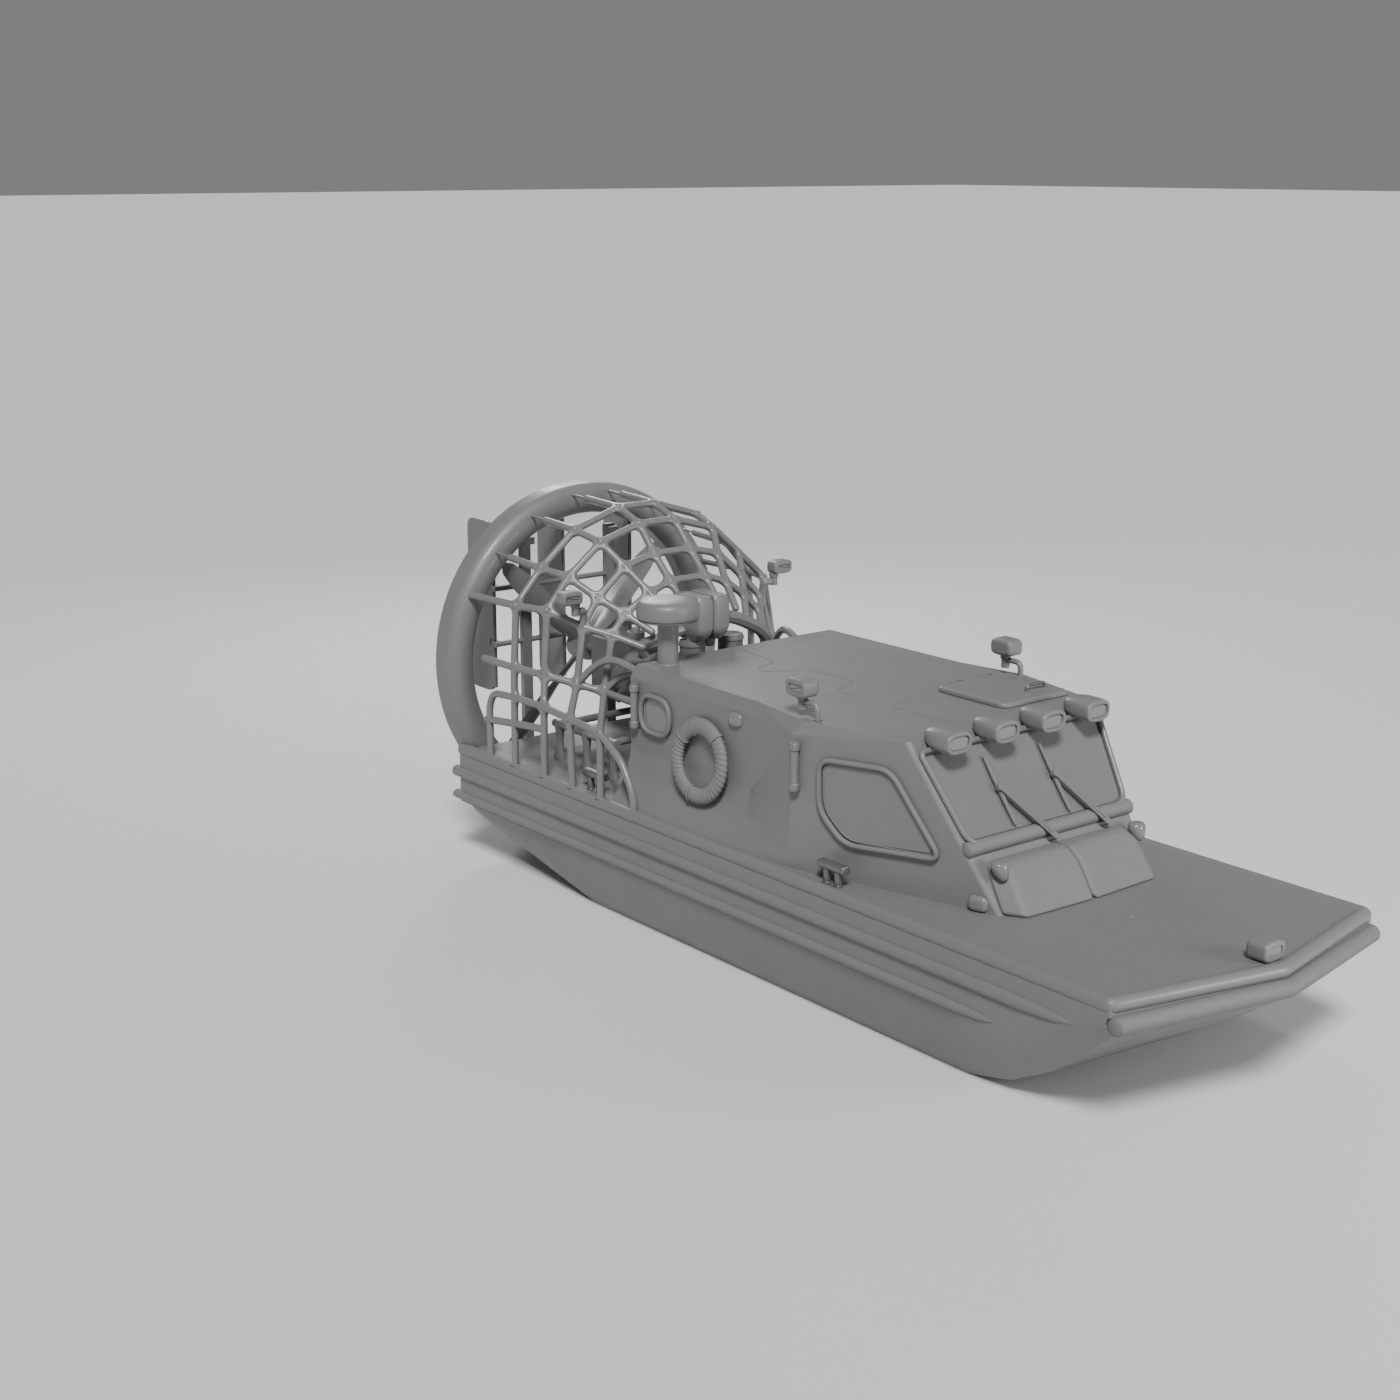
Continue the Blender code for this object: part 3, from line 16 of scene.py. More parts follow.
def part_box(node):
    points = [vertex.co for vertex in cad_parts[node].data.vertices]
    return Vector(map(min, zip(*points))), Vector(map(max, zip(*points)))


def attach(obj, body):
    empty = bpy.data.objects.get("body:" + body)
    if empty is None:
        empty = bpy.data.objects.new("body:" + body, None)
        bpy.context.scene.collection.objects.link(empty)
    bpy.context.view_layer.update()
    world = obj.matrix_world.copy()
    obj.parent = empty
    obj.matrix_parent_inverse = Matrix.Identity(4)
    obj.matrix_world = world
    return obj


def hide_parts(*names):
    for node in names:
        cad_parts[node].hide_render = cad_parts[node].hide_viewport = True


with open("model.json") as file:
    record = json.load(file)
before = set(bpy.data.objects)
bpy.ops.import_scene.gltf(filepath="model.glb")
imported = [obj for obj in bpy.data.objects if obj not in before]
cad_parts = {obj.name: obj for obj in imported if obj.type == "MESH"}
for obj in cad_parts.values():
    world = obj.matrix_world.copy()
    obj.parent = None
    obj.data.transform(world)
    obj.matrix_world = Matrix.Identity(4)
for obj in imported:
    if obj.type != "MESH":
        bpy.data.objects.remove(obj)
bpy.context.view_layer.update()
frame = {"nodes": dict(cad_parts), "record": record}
NODES = frame["nodes"]

# %% [markdown]
# ## The camera
# A boat is long, so its look depends on how near the camera stands. The focal length and the
# place were found from the straight edges of the hull and cabin, and are kept as plain numbers.

# %% The camera at the photograph's angle
CAMERA_PLACE = Vector((11.0151, -10.0733, 5.6148))
CAMERA_TURN = 51.694  # degrees from looking along +Y towards -X
CAMERA_DROP = 14.366  # degrees below the horizon

lens = bpy.data.cameras.new("portrait")
lens.sensor_width = 36.0
lens.lens = 54.64
camera = bpy.data.objects.new("portrait", lens)
bpy.context.scene.collection.objects.link(camera)
turn, drop = math.radians(CAMERA_TURN), math.radians(CAMERA_DROP)
ahead = Vector((-math.sin(turn) * math.cos(drop), math.cos(turn) * math.cos(drop), -math.sin(drop)))
camera.location = CAMERA_PLACE
camera.rotation_euler = ahead.to_track_quat("-Z", "Y").to_euler()
bpy.context.scene.camera = camera
print("the camera looks along", [round(c, 3) for c in ahead])

# %% [markdown]
# ## Arithmetic on sockets
# A finish is a small sum of patterns. One class wraps a socket and overloads the operators, so
# that a mask reads as it would on paper, such as `1 - clouds * 0.5`, and each sign adds a Math node.


# %% A class that does maths with sockets
class Value:
    """A node's output, or a plain number, inside one material's tree."""

    def __init__(self, tree, socket):
        self.tree, self.socket = tree, socket

    def maths(self, operation, *others, clamp=False):
        node = self.tree.nodes.new("ShaderNodeMath")
        node.operation, node.use_clamp = operation, clamp
        for slot, value in zip(node.inputs, (self, *others)):
            join(self.tree, slot, value)
        return Value(self.tree, node.outputs[0])

    def __add__(self, other):
        return self.maths("ADD", other)

    def __sub__(self, other):
        return self.maths("SUBTRACT", other)

    def __mul__(self, other):
        return self.maths("MULTIPLY", other)

    def __truediv__(self, other):
        return self.maths("DIVIDE", other)

    def __rsub__(self, other):
        return Value(self.tree, other).maths("SUBTRACT", self)

    def __rtruediv__(self, other):
        return Value(self.tree, other).maths("DIVIDE", self)

    __radd__ = __add__
    __rmul__ = __mul__

    def clamped(self):
        """The same value, held between 0 and 1."""
        return self.maths("MULTIPLY", 1.0, clamp=True)

    def above(self, edge, soft):
        """0 below the edge and 1 above it, with a soft step between."""
        return ((self - (edge - soft)) / (2 * soft)).clamped()


def join(tree, slot, value):
    """Link a socket, or set a plain number, vector or colour."""
    value = value.socket if isinstance(value, Value) else value
    if isinstance(value, bpy.types.NodeSocket):
        tree.links.new(value, slot)
    elif value is not None:
        slot.default_value = value


print("signs that a socket knows:", ", ".join(name for name in vars(Value) if name.startswith("__")))

# %% [markdown]
# ## Finishes
# A painted boat is never one flat colour. Its paint clouds a little over a metre, has a fine
# orange-peel skin and dulls where spray dries on it. One class below starts a Principled material
# and has one method for every other node, so each finish can stay a few lines long.


# %% A class that starts a material
class Finish:
    """A Principled material, its colour and roughness, and the patterns that vary them."""

    def __init__(self, name, colour, roughness, metallic=0.0, coat=0.0):
        self.material = bpy.data.materials.new(name)
        self.material.use_nodes = True
        self.tree = self.material.node_tree
        self.shader = self.tree.nodes["Principled BSDF"]
        self.colour, self.roughness = colour, roughness
        self.material.diffuse_color = (*colour, 1.0)
        self.set("Metallic", metallic)
        self.set("Coat Weight", coat)
        self.set("Roughness", roughness)
        self.set("Base Color", (*colour, 1.0))
        self.place = self.node("ShaderNodeTexCoord")["Object"]

    def set(self, socket, value):
        join(self.tree, self.shader.inputs[socket], value)

    def node(self, kind, settings=(), **sockets):
        """Any node: its type, its settings, then the values or links of its sockets."""
        made = self.tree.nodes.new(kind)
        for name, value in dict(settings).items():
            setattr(made, name, value)
        for name, value in sockets.items():
            join(self.tree, made.inputs[name.replace("_", " ")], value)
        return {socket.name: Value(self.tree, socket) for socket in reversed(made.outputs)}

    def noise(self, scale, detail=3.0, stretch=None):
        """Cloudy noise from 0 to 1, its size in metres being about one over the scale."""
        spot = self.place
        if stretch:
            spot = self.node("ShaderNodeMapping", Vector=spot, Scale=stretch)["Vector"]
        return self.node("ShaderNodeTexNoise", Vector=spot, Scale=scale, Detail=detail)["Fac"]

    def shade(self, mask, darker):
        """Mix the colour towards a darker one where the mask is 1."""
        dark = tuple(c * darker for c in self.colour)
        mixed = self.node("ShaderNodeMixRGB", Fac=mask, Color1=(*self.colour, 1.0), Color2=(*dark, 1.0))
        self.set("Base Color", mixed["Color"])

    def relief(self, height, depth):
        """A bump whose height is in metres."""
        bump = self.node("ShaderNodeBump", Height=height, Distance=depth, Strength=1.0)
        self.set("Normal", bump["Normal"])

    def rough(self, mask, spread):
        """Roughness that varies with a mask around the finish's own value."""
        self.set("Roughness", (mask - 0.5) * spread + self.roughness)


print("a finish can", ", ".join(name for name in vars(Finish) if not name.startswith("_")))

# %% [markdown]
# ## The greys
# The whole boat is one close family of neutral greys, as in the photograph, so the finishes differ
# by their skin: satin paint on hull and cabin, a matt tooth on rubber, a gloss on glass and lenses,
# a sandy cast skin on the engine and a brushed one on the bollards. One grey is named once, and each
# finish is a share of it, so that the family stays together when the grey is changed.

# %% Painted, rubber and moulded finishes
GREY = (0.158, 0.158, 0.160)


def tint(share):
    """The boat's grey, lighter above 1 and darker below."""
    return tuple(min(c * share, 1.0) for c in GREY)


def paint(name, share=1.0, roughness=0.46, peel=0.00035):
    """Satin paint: broad clouds, a few dull patches and an orange-peel skin."""
    made = Finish(name, tint(share), roughness, coat=0.10)
    clouds = made.noise(1.3, 4.0)
    made.shade((clouds * 0.8 + made.noise(9.0, 5.0) * 0.4 - 0.15).clamped(), 0.90)
    made.rough(made.noise(5.0, 4.0), 0.20)
    made.relief(made.noise(160.0, 2.0) + made.noise(14.0, 2.0) * 2.0, peel)
    return made.material


def rubber(name, share=0.86):
    """Rubber and soft trim: matt, with a fine tooth."""
    made = Finish(name, tint(share), 0.66)
    made.shade(made.noise(22.0, 5.0), 0.88)
    made.rough(made.noise(40.0, 3.0), 0.15)
    made.relief(made.noise(420.0, 2.0), 0.0004)
    return made.material


def moulded(name, share=1.04, roughness=0.40):
    """Moulded housings: an even, slightly glossy skin with a faint grain."""
    made = Finish(name, tint(share), roughness)
    made.shade(made.noise(6.0, 4.0), 0.93)
    made.rough(made.noise(30.0, 3.0), 0.12)
    made.relief(made.noise(300.0, 2.0), 0.0003)
    return made.material


print("painted, rubber and moulded skins start from the grey", GREY)


# %% Cast, brushed and clear finishes
def cast(name, share=0.92):
    """Cast engine metal: a sandy skin, darker where oil has dried."""
    made = Finish(name, tint(share), 0.50, metallic=0.15)
    oil = made.noise(7.0, 5.0).above(0.60, 0.12)
    made.shade(oil, 0.78)
    made.rough(oil, -0.15)
    made.relief(made.noise(240.0, 3.0), 0.0008)
    return made.material


def brushed(name, share=1.08):
    """Brushed metal: scratches that run along the boat."""
    made = Finish(name, tint(share), 0.34, metallic=0.55)
    grain = made.noise(120.0, 3.0, stretch=(0.04, 1.0, 1.0))
    made.shade(grain, 0.88)
    made.rough(grain, 0.22)
    made.relief(grain, 0.0002)
    return made.material


def pane(name, share=0.98, roughness=0.14):
    """Tinted glass that hides what lies behind it: smooth, with faint film on its surface."""
    made = Finish(name, tint(share), roughness, coat=0.35)
    film = made.noise(2.4, 4.0)
    made.shade(film, 0.90)
    made.rough(film, 0.16)
    made.relief(made.noise(3.0, 1.0), 0.0008)
    return made.material


FINISH = {
    "hull": paint("hull_paint", 1.0), "cabin": paint("cabin_paint", 1.02),
    "duct": paint("duct_paint", 1.02, peel=0.0005), "tube": paint("tube_paint", 1.05, 0.34, 0.0002),
    "rudder": paint("rudder_paint", 0.98), "hood": rubber("hood_cover", 1.0),
    "window_frame": rubber("rim_rubber", 1.0), "rubber": rubber("trim_rubber", 0.92),
    "glass": pane("tinted_glass"), "lens": pane("lamp_lens", 1.12, 0.10),
    "lamp": moulded("lamp_housing"), "deck_metal": brushed("bollard_metal"),
    "buoy": rubber("buoy_skin", 1.08), "blade": moulded("blade_composite", 0.95, 0.32),
    "engine": cast("engine_casting"), "hose": rubber("hose_rubber", 0.90),
}
print("finishes:", ", ".join(FINISH))

# %% [markdown]
# ## Studio
# The floor is a plain pale sheet, so wide that its far edge never cuts the boat. The light is soft:
# a wide sun over the starboard bow, a panel ahead of the bow for the windshield's frame, and one
# behind that draws the duct's edge. Three plain lamps are easier to balance than a lit dome.

# %% Floor and lights
FLOOR_SIZE = 600.0
FLOOR_GREY = (0.62, 0.62, 0.62)

bm = bmesh.new()
bmesh.ops.create_grid(bm, x_segments=1, y_segments=1, size=FLOOR_SIZE / 2)
floor_mesh = bpy.data.meshes.new("studio_floor")
bm.to_mesh(floor_mesh)
bm.free()
floor = bpy.data.objects.new("studio_floor", floor_mesh)
bpy.context.scene.collection.objects.link(floor)
floor_mesh.materials.append(Finish("floor_sheet", FLOOR_GREY, 0.85).material)

LIGHTS = (  # name, kind, place, width in metres or degrees, strength in watts or, for the sun, W/m2
    ("key", "SUN", (4.8, -4.1, 8.3), 14.0, 4.1),
    ("bow", "AREA", (11.0, 4.0, 3.5), 3.0, 520.0),
    ("rim", "AREA", (-11.0, 5.0, 7.5), 3.0, 450.0),
)
WORLD_GREY, WORLD_STRENGTH = (0.90, 0.90, 0.90, 1.0), 0.24
LOOK_AT = Vector((0, 0, 1.0))


def shine(name, kind, place, width, strength):
    """A light that looks at the boat's middle."""
    light = bpy.data.lights.new(name, kind)
    light.energy = strength
    if kind == "SUN":
        light.angle = math.radians(width)
    else:
        light.size = width
    obj = bpy.data.objects.new(name, light)
    obj.location = place
    obj.rotation_euler = (LOOK_AT - Vector(place)).to_track_quat("-Z", "Y").to_euler()
    bpy.context.scene.collection.objects.link(obj)


for row in LIGHTS:
    shine(*row)
world = bpy.data.worlds.new("studio")
world.use_nodes = True
world.node_tree.nodes["Background"].inputs["Color"].default_value = WORLD_GREY
world.node_tree.nodes["Background"].inputs["Strength"].default_value = WORLD_STRENGTH
bpy.context.scene.world = world
print("lights:", [row[0] for row in LIGHTS])

# %% [markdown]
# ## From solid to surface
# The packed solids have the true shapes, but their edges are knife sharp and their curves are flat
# strips. A real edge is always a little round and catches the light. So a copy of a solid is merged,
# its flat strips are joined, its edges get a small bevel, and the copy stands for the solid.


# %% Softening a solid
DOUBLES = 2e-5  # metres between corners that are one corner
FLAT = math.radians(0.8)  # strips that turn less than this are one face


def merged(node):
    """A CAD node's surface as a bmesh whose triangles share their corners."""
    bm = bmesh.new()
    bm.from_mesh(NODES[node].data)
    bmesh.ops.remove_doubles(bm, verts=bm.verts, dist=DOUBLES)
    bmesh.ops.dissolve_limit(bm, angle_limit=FLAT, verts=bm.verts, edges=bm.edges)
    return bm


def bevel(bm, edges, width, segments):
    """Round these edges."""
    bmesh.ops.bevel(bm, geom=edges, offset=width, offset_type="OFFSET", segments=segments, profile=0.5,
                    affect="EDGES", clamp_overlap=True, material=-1)


def round_edges(bm, width, segments=2, angle=30.0, where=None):
    """Bevel the edges that turn more sharply than an angle."""
    limit = math.radians(angle)
    sharp = [e for e in bm.edges if len(e.link_faces) == 2 and e.calc_face_angle(0.0) > limit]
    if where:
        sharp = [e for e in sharp if where((e.verts[0].co + e.verts[1].co) / 2)]
    bevel(bm, sharp, width, segments)
    return bm


print("solids to soften:", len(NODES))

# %% [markdown]
# ## A finished piece
# Shading alone can spoil a bevel: where normals are averaged evenly, a large flat face shades like
# a cushion. Here each corner's normal leans on the near faces by their area, so flats stay flat and
# only the bevels shade round. The piece then gets its finish, its body and the solid it stands for.


# %% Normals, material, body and slot
def leaning_normals(bm, angle):
    """A normal for each face's corner: the mean of the near faces, weighted by area, so flats stay flat."""
    bm.normal_update()
    limit = math.cos(math.radians(angle))
    areas = {face: max(face.calc_area(), 1e-9) for face in bm.faces}
    normals = []
    for face in bm.faces:
        for corner in face.loops:
            near = [other for other in corner.vert.link_faces if other.normal.dot(face.normal) >= limit]
            leaning = sum((other.normal * areas[other] for other in near), face.normal * 1e-9)
            normals.append(leaning.normalized())
    return normals


def make(name, bm, slot, body="boat", finish=None, smooth=40.0, instead=()):
    """Turn a bmesh into a finished piece: normals, shading, the material for its slot, and its body."""
    mesh = bpy.data.meshes.new(name)
    normals = leaning_normals(bm, smooth)
    bm.to_mesh(mesh)
    bm.free()
    mesh.shade_smooth()
    mesh.normals_split_custom_set(normals)
    mesh.materials.append(FINISH[finish or slot])
    obj = bpy.data.objects.new(name, mesh)
    bpy.context.scene.collection.objects.link(obj)
    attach(obj, body)
    if instead:
        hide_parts(*instead)
    return obj


SLOTS = {part["node"]: part["material_slot"] for part in frame["record"]["subparts"]}


def dress(node, width, segments=2, angle=30.0, smooth=40.0, body="boat"):
    """Stand a softened copy of a CAD node in its place."""
    bm = merged(node)
    if width:
        round_edges(bm, width, segments, angle)
    return make(node + "_skin", bm, SLOTS[node], body, smooth=smooth, instead=(node,))


print("material slots:", sorted(set(SLOTS.values())))

# %% [markdown]
# ## Where the cabin's walls are
# The windows, rims and rails all sit on the cabin's leaning walls. Measuring each by eye would leave
# gaps, so the walls' planes are written once as short formulas, and every later piece asks them.

# %% The cabin's planes
DECK = 0.9503
ROOF = 1.970
SIDE_WALL = (1.144, -0.2747, -0.0131)  # |y| at the widest corner, slopes along x and z
WIDEST_X = 0.68
SHIELD_TOP, RAKE = (1.53, 1.984), 0.683


def side_y(x, z):
    """|y| of the cabin's side wall ahead of its widest corner."""
    return SIDE_WALL[0] + SIDE_WALL[1] * (x - WIDEST_X) + SIDE_WALL[2] * (z - 0.95)


def front_x(z):
    """x of the windshield's plane at a height."""
    return SHIELD_TOP[0] + RAKE * (SHIELD_TOP[1] - z)


print("half width at the widest corner", side_y(WIDEST_X, DECK), "windshield foot", round(front_x(DECK), 3))

# %% [markdown]
# ## Hull and cabin
# A pressed or moulded shell has flat faces between soft edges. One bevel for all edges would be
# quick, but the real cabin's fore pillars are rolled wide, its skirt flows into the wall and its
# other folds are crisp. So the edges are told apart by where they lie, and get three bevels.


# %% The cabin's folds
def on_pillar(spot):
    return abs(spot.x - front_x(spot.z)) < 0.02 and abs(abs(spot.y) - side_y(spot.x, spot.z)) < 0.03


def on_flare(spot):
    """The level creases of the skirt that sweeps out to the deck, aft of the windows."""
    return DECK + 0.05 < spot.z < 1.40 and abs(spot.y) > 0.98 and -1.25 < spot.x < 0.0


def on_blend(spot):
    """The foot of the slanted panel, where the skirt runs out into the forward wall."""
    return 0.10 < spot.x < WIDEST_X - 0.01 and abs(spot.y) > 0.98 and spot.z < 1.45


def plain_edge(spot):
    return spot.z > DECK + 0.03 and not (on_pillar(spot) or on_flare(spot) or on_blend(spot))


bm = round_edges(merged("cabin"), 0.036, 5, 20.0, on_pillar)
round_edges(bm, 0.022, 3, 6.0, on_flare)
round_edges(bm, 0.011, 3, 14.0, plain_edge)
print("cabin faces after three bevels:", len(bm.faces))
make("cabin_skin", bm, "cabin", smooth=40.0, instead=("cabin",))

# %% [markdown]
# ## The other solids
# Most solids need no more than a softer edge. A table gives each its bevel in metres: wide on the
# padded hood, narrow on a cast engine, where many small parts lie close together.

# %% Softened shells and moving parts
SOFT_EDGES = (  # node, bevel in metres, segments
    ("hull", 0.008, 2), ("hood_r", 0.034, 5), ("hood_l", 0.034, 5),
    ("windshield_glass", 0.002, 1), ("side_glass_r", 0.002, 1), ("side_glass_l", 0.002, 1),
    ("aft_glass_r", 0.002, 1), ("aft_glass_l", 0.002, 1), ("gearbox", 0.004, 2),
    ("engine", 0.003, 1), ("rudder_frame", 0.003, 1), ("engine_stand", 0.0, 1),
    ("air_cleaner", 0.003, 1),
)
MOVING = (  # node and body, bevel in metres
    ("propeller", 0.0), ("rudder_r", 0.010), ("rudder_c", 0.010), ("rudder_l", 0.010), ("cab_door", 0.005),
)
for row in SOFT_EDGES:
    dress(*row)
for node, width in MOVING:
    dress(node, width, 3, body=node)
print("softened:", len(SOFT_EDGES) + len(MOVING), "solids")

# %% [markdown]
# ## Tubes
# Rails, rims, hoses and the cage are all bent tube. A tube bender leaves an arc at each corner and
# never a kink, so a path's corners are rounded first, and a bevelled curve then gives it its wall.


# %% Bending paths
def bend(points, radius, closed=False, steps=8):
    """The path with each corner replaced by an arc that starts a radius away from it."""
    spots = [Vector(p) for p in points]
    path = []
    for i, corner in enumerate(spots):
        if not closed and i in (0, len(spots) - 1):
            path.append(corner)
            continue
        before, after = spots[i - 1], spots[(i + 1) % len(spots)]
        start = corner + (before - corner).normalized() * min(radius, (before - corner).length * 0.49)
        end = corner + (after - corner).normalized() * min(radius, (after - corner).length * 0.49)
        for k in range(steps + 1):
            t = k / steps
            path.append(start * (1 - t) ** 2 + corner * 2 * t * (1 - t) + end * t * t)
    return path


print("a bent corner has", len(bend([(0, 0, 0), (1, 0, 0), (1, 1, 0)], 0.1)) - 2, "points")


# %% Tubes and balls
def add_tubes(bm, paths, radius, corner=0.0, closed=False, fine=4, steps=8):
    """Add round tubes along paths to a bmesh, with the doubled rims of their caps merged."""
    curve = bpy.data.curves.new("path", "CURVE")
    curve.dimensions = "3D"
    curve.bevel_depth, curve.bevel_resolution, curve.use_fill_caps = radius, fine, True
    for points in paths:
        path = bend(points, corner, closed, steps) if corner else [Vector(p) for p in points]
        spline = curve.splines.new("POLY")
        spline.points.add(len(path) - 1)
        for point, spot in zip(spline.points, path):
            point.co = (*spot, 1.0)
        spline.use_cyclic_u = closed
    obj = bpy.data.objects.new("path", curve)
    bpy.context.scene.collection.objects.link(obj)
    bpy.context.view_layer.update()
    mesh = bpy.data.meshes.new_from_object(obj.evaluated_get(bpy.context.evaluated_depsgraph_get()))
    tubes = bmesh.new()
    tubes.from_mesh(mesh)
    bmesh.ops.remove_doubles(tubes, verts=tubes.verts, dist=1e-6)
    bmesh.ops.recalc_face_normals(tubes, faces=tubes.faces)
    tubes.to_mesh(mesh)
    tubes.free()
    bm.from_mesh(mesh)
    bpy.data.objects.remove(obj, do_unlink=True)
    bpy.data.meshes.remove(mesh)


def add_ball(bm, centre, radius, squash=(1, 1, 1), fine=12):
    """A small ball, such as a rounded tube end or a weld."""
    spot = Matrix.Translation(centre) @ Matrix.Diagonal((*squash, 1))
    bmesh.ops.create_uvsphere(bm, u_segments=fine, v_segments=fine // 2 + 2, radius=radius, matrix=spot)


def both_sides(point):
    return [Vector((point[0], side * point[1], point[2])) for side in (-1, 1)]


def flip_y(points):
    return [(x, -y, z) for x, y, z in points]


print("to port and starboard of the middle:", *both_sides((0, 1, 0)))

# %% [markdown]
# ## The cage
# The cage is a net of welded tube that keeps hands and ropes out of the propeller. Four hoops rise
# from the gunwale, bend inwards and meet over the engine, and six long bars on each side tie them
# to the duct. One could join the tubes with booleans, but welders only lay a bead where two tubes
# cross, so here the tubes run through each other and a small ball at each crossing is the bead.

# %% The cage's points
CAGE_R = 0.0295
HOOPS = (  # each from the gunwale's foot up to the crown, starboard and port alike
    ((-2.55, 1.215, DECK), (-2.56, 1.205, 1.500), (-2.56, 1.200, 1.740), (-2.56, 1.170, 2.230),
     (-2.56, 0.930, 2.495), (-2.55, 0.610, 2.766), (-2.56, 0.178, 2.900)),
    ((-2.14, 1.215, DECK), (-2.15, 1.205, 1.505), (-2.22, 1.145, 1.735), (-2.26, 1.085, 2.228),
     (-2.30, 0.853, 2.454), (-2.28, 0.559, 2.698), (-2.29, 0.175, 2.804)),
    ((-1.76, 1.215, DECK), (-1.78, 1.222, 1.490), (-2.015, 0.985, 1.680), (-2.056, 0.896, 2.110),
     (-2.10, 0.721, 2.306), (-2.096, 0.464, 2.524), (-2.094, 0.178, 2.593)),
    ((-1.40, 1.215, DECK), (-1.41, 1.205, 1.455), (-1.86, 0.840, 1.625), (-1.893, 0.737, 2.050),
     (-1.92, 0.595, 2.192), (-1.888, 0.379, 2.338), (-1.897, 0.172, 2.406)),
)
LOW_RAIL = ((-2.945, 1.215, 1.245), (-2.906, 1.215, 1.250), (-2.554, 1.210, 1.290), (-2.144, 1.210, 1.330))
MID_RAIL_END = (-2.93, 1.235, 1.750)
SKIRT_AFT = ((-2.90, 1.215, DECK), (-2.90, 1.215, 1.02), (-2.91, 1.215, 1.36), (-2.85, 1.210, 1.48))
SKIRT_FORE = ((-1.15, 1.205, 1.30), (-1.02, 1.210, 1.12), (-0.98, 1.215, 1.02), (-0.98, 1.215, DECK))
TIPS = {  # the free fore end of each long bar, by its place along a hoop
    3: (-1.700, 0.585, 1.969), 4: (-1.740, 0.470, 2.070),
    5: (-1.690, 0.320, 2.160), 6: (-1.840, 0.170, 2.352),
}
STUBS = {3: (1.190, 2.217), 4: (0.935, 2.530), 5: (0.585, 2.790), 6: (0.180, 2.925)}  # |y|, z
CABIN_AFT = -1.3003
STAYS = (  # from a hoop's shoulder to the cabin's aft wall
    (2, ((-1.900, 0.930, 1.815), (-1.800, 0.895, 1.888), (-1.690, 0.856, 1.912), (-1.520, 0.815, 1.870),
         (-1.350, 0.785, 1.815))),
    (3, ((-1.800, 0.775, 1.720), (-1.680, 0.750, 1.784), (-1.500, 0.725, 1.825), (-1.350, 0.715, 1.842))),
    (3, ((-1.660, 0.860, 1.628), (-1.350, 0.868, 1.630))),
)
WORK_NECK = ((-2.056, 0.896, 2.110), (-2.040, 0.900, 2.220), (-2.024, 0.908, 2.246), (-2.018, 0.959, 2.246))
print("hoops:", len(HOOPS), "long bars on a side:", len(STUBS) + 2)

# %% [markdown]
# ## Corner webs and paths
# Where two bars cross, the real net's corners are filled by a wide weld, so its meshes look rounded.
# A remesh could melt the corners together, but a short bent tube in each corner is lighter and keeps
# its exact size. The long bars' thick part ends ahead of the duct, and a thin pin goes on to it.

# %% The cage's webs
DUCT_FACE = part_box("duct")[1].x
WEB = 0.190  # reach of a corner's web along its two tubes
STUB_SHARE = 0.70  # how far the thick part of a bar goes on towards the duct
LOW_STUB, CROWN = 3, 6  # places along a hoop


def stub_end(k):
    """Where a long bar's thick part ends, ahead of the duct. Only the lowest reaches its face."""
    share = 1.0 if k == LOW_STUB else STUB_SHARE
    return Vector(HOOPS[0][k]).lerp(Vector((DUCT_FACE + 0.012, *STUBS[k])), share)


def webs():
    """Short bent tubes that fill the corners of each crossing, as a wide weld does."""
    made = []
    for i, hoop in enumerate(HOOPS):
        for k in range(1, CROWN + 1):
            up = hoop[k + 1] if k < CROWN else flip_y([hoop[CROWN]])[0]
            fore = HOOPS[i + 1][k] if i < len(HOOPS) - 1 else TIPS.get(k)
            aft = HOOPS[i - 1][k] if i else (stub_end(k) if k in STUBS else None)
            round_it = [up, fore, hoop[k - 1], aft]
            for one, two in zip(round_it, round_it[1:] + round_it[:1]):
                if one is None or two is None:
                    continue
                spot = Vector(hoop[k])
                reach = [spot + (Vector(p) - spot).normalized() * WEB for p in (one, two)]
                made.append([reach[0], spot, reach[1]])
    return made + [flip_y(path) for path in made]


print("corner webs:", len(webs()))


# %% The cage's tubes
def cage_paths():
    """Hoops run from deck to deck over the crown, the rest is the same on both sides."""
    hoops = [list(hoop) + flip_y(reversed(hoop)) for hoop in HOOPS]
    side = [list(LOW_RAIL), [MID_RAIL_END] + [hoop[2] for hoop in HOOPS]]
    side.append([*SKIRT_AFT, *(hoop[1] for hoop in HOOPS), *SKIRT_FORE])
    for k in STUBS:
        side.append([stub_end(k)] + [hoop[k] for hoop in HOOPS] + [TIPS[k]])
    for hoop, points in STAYS:
        side.append([HOOPS[hoop][2], *points, (CABIN_AFT, *points[-1][1:])])
    side.append(list(WORK_NECK))
    return hoops + side + [flip_y(path) for path in side]


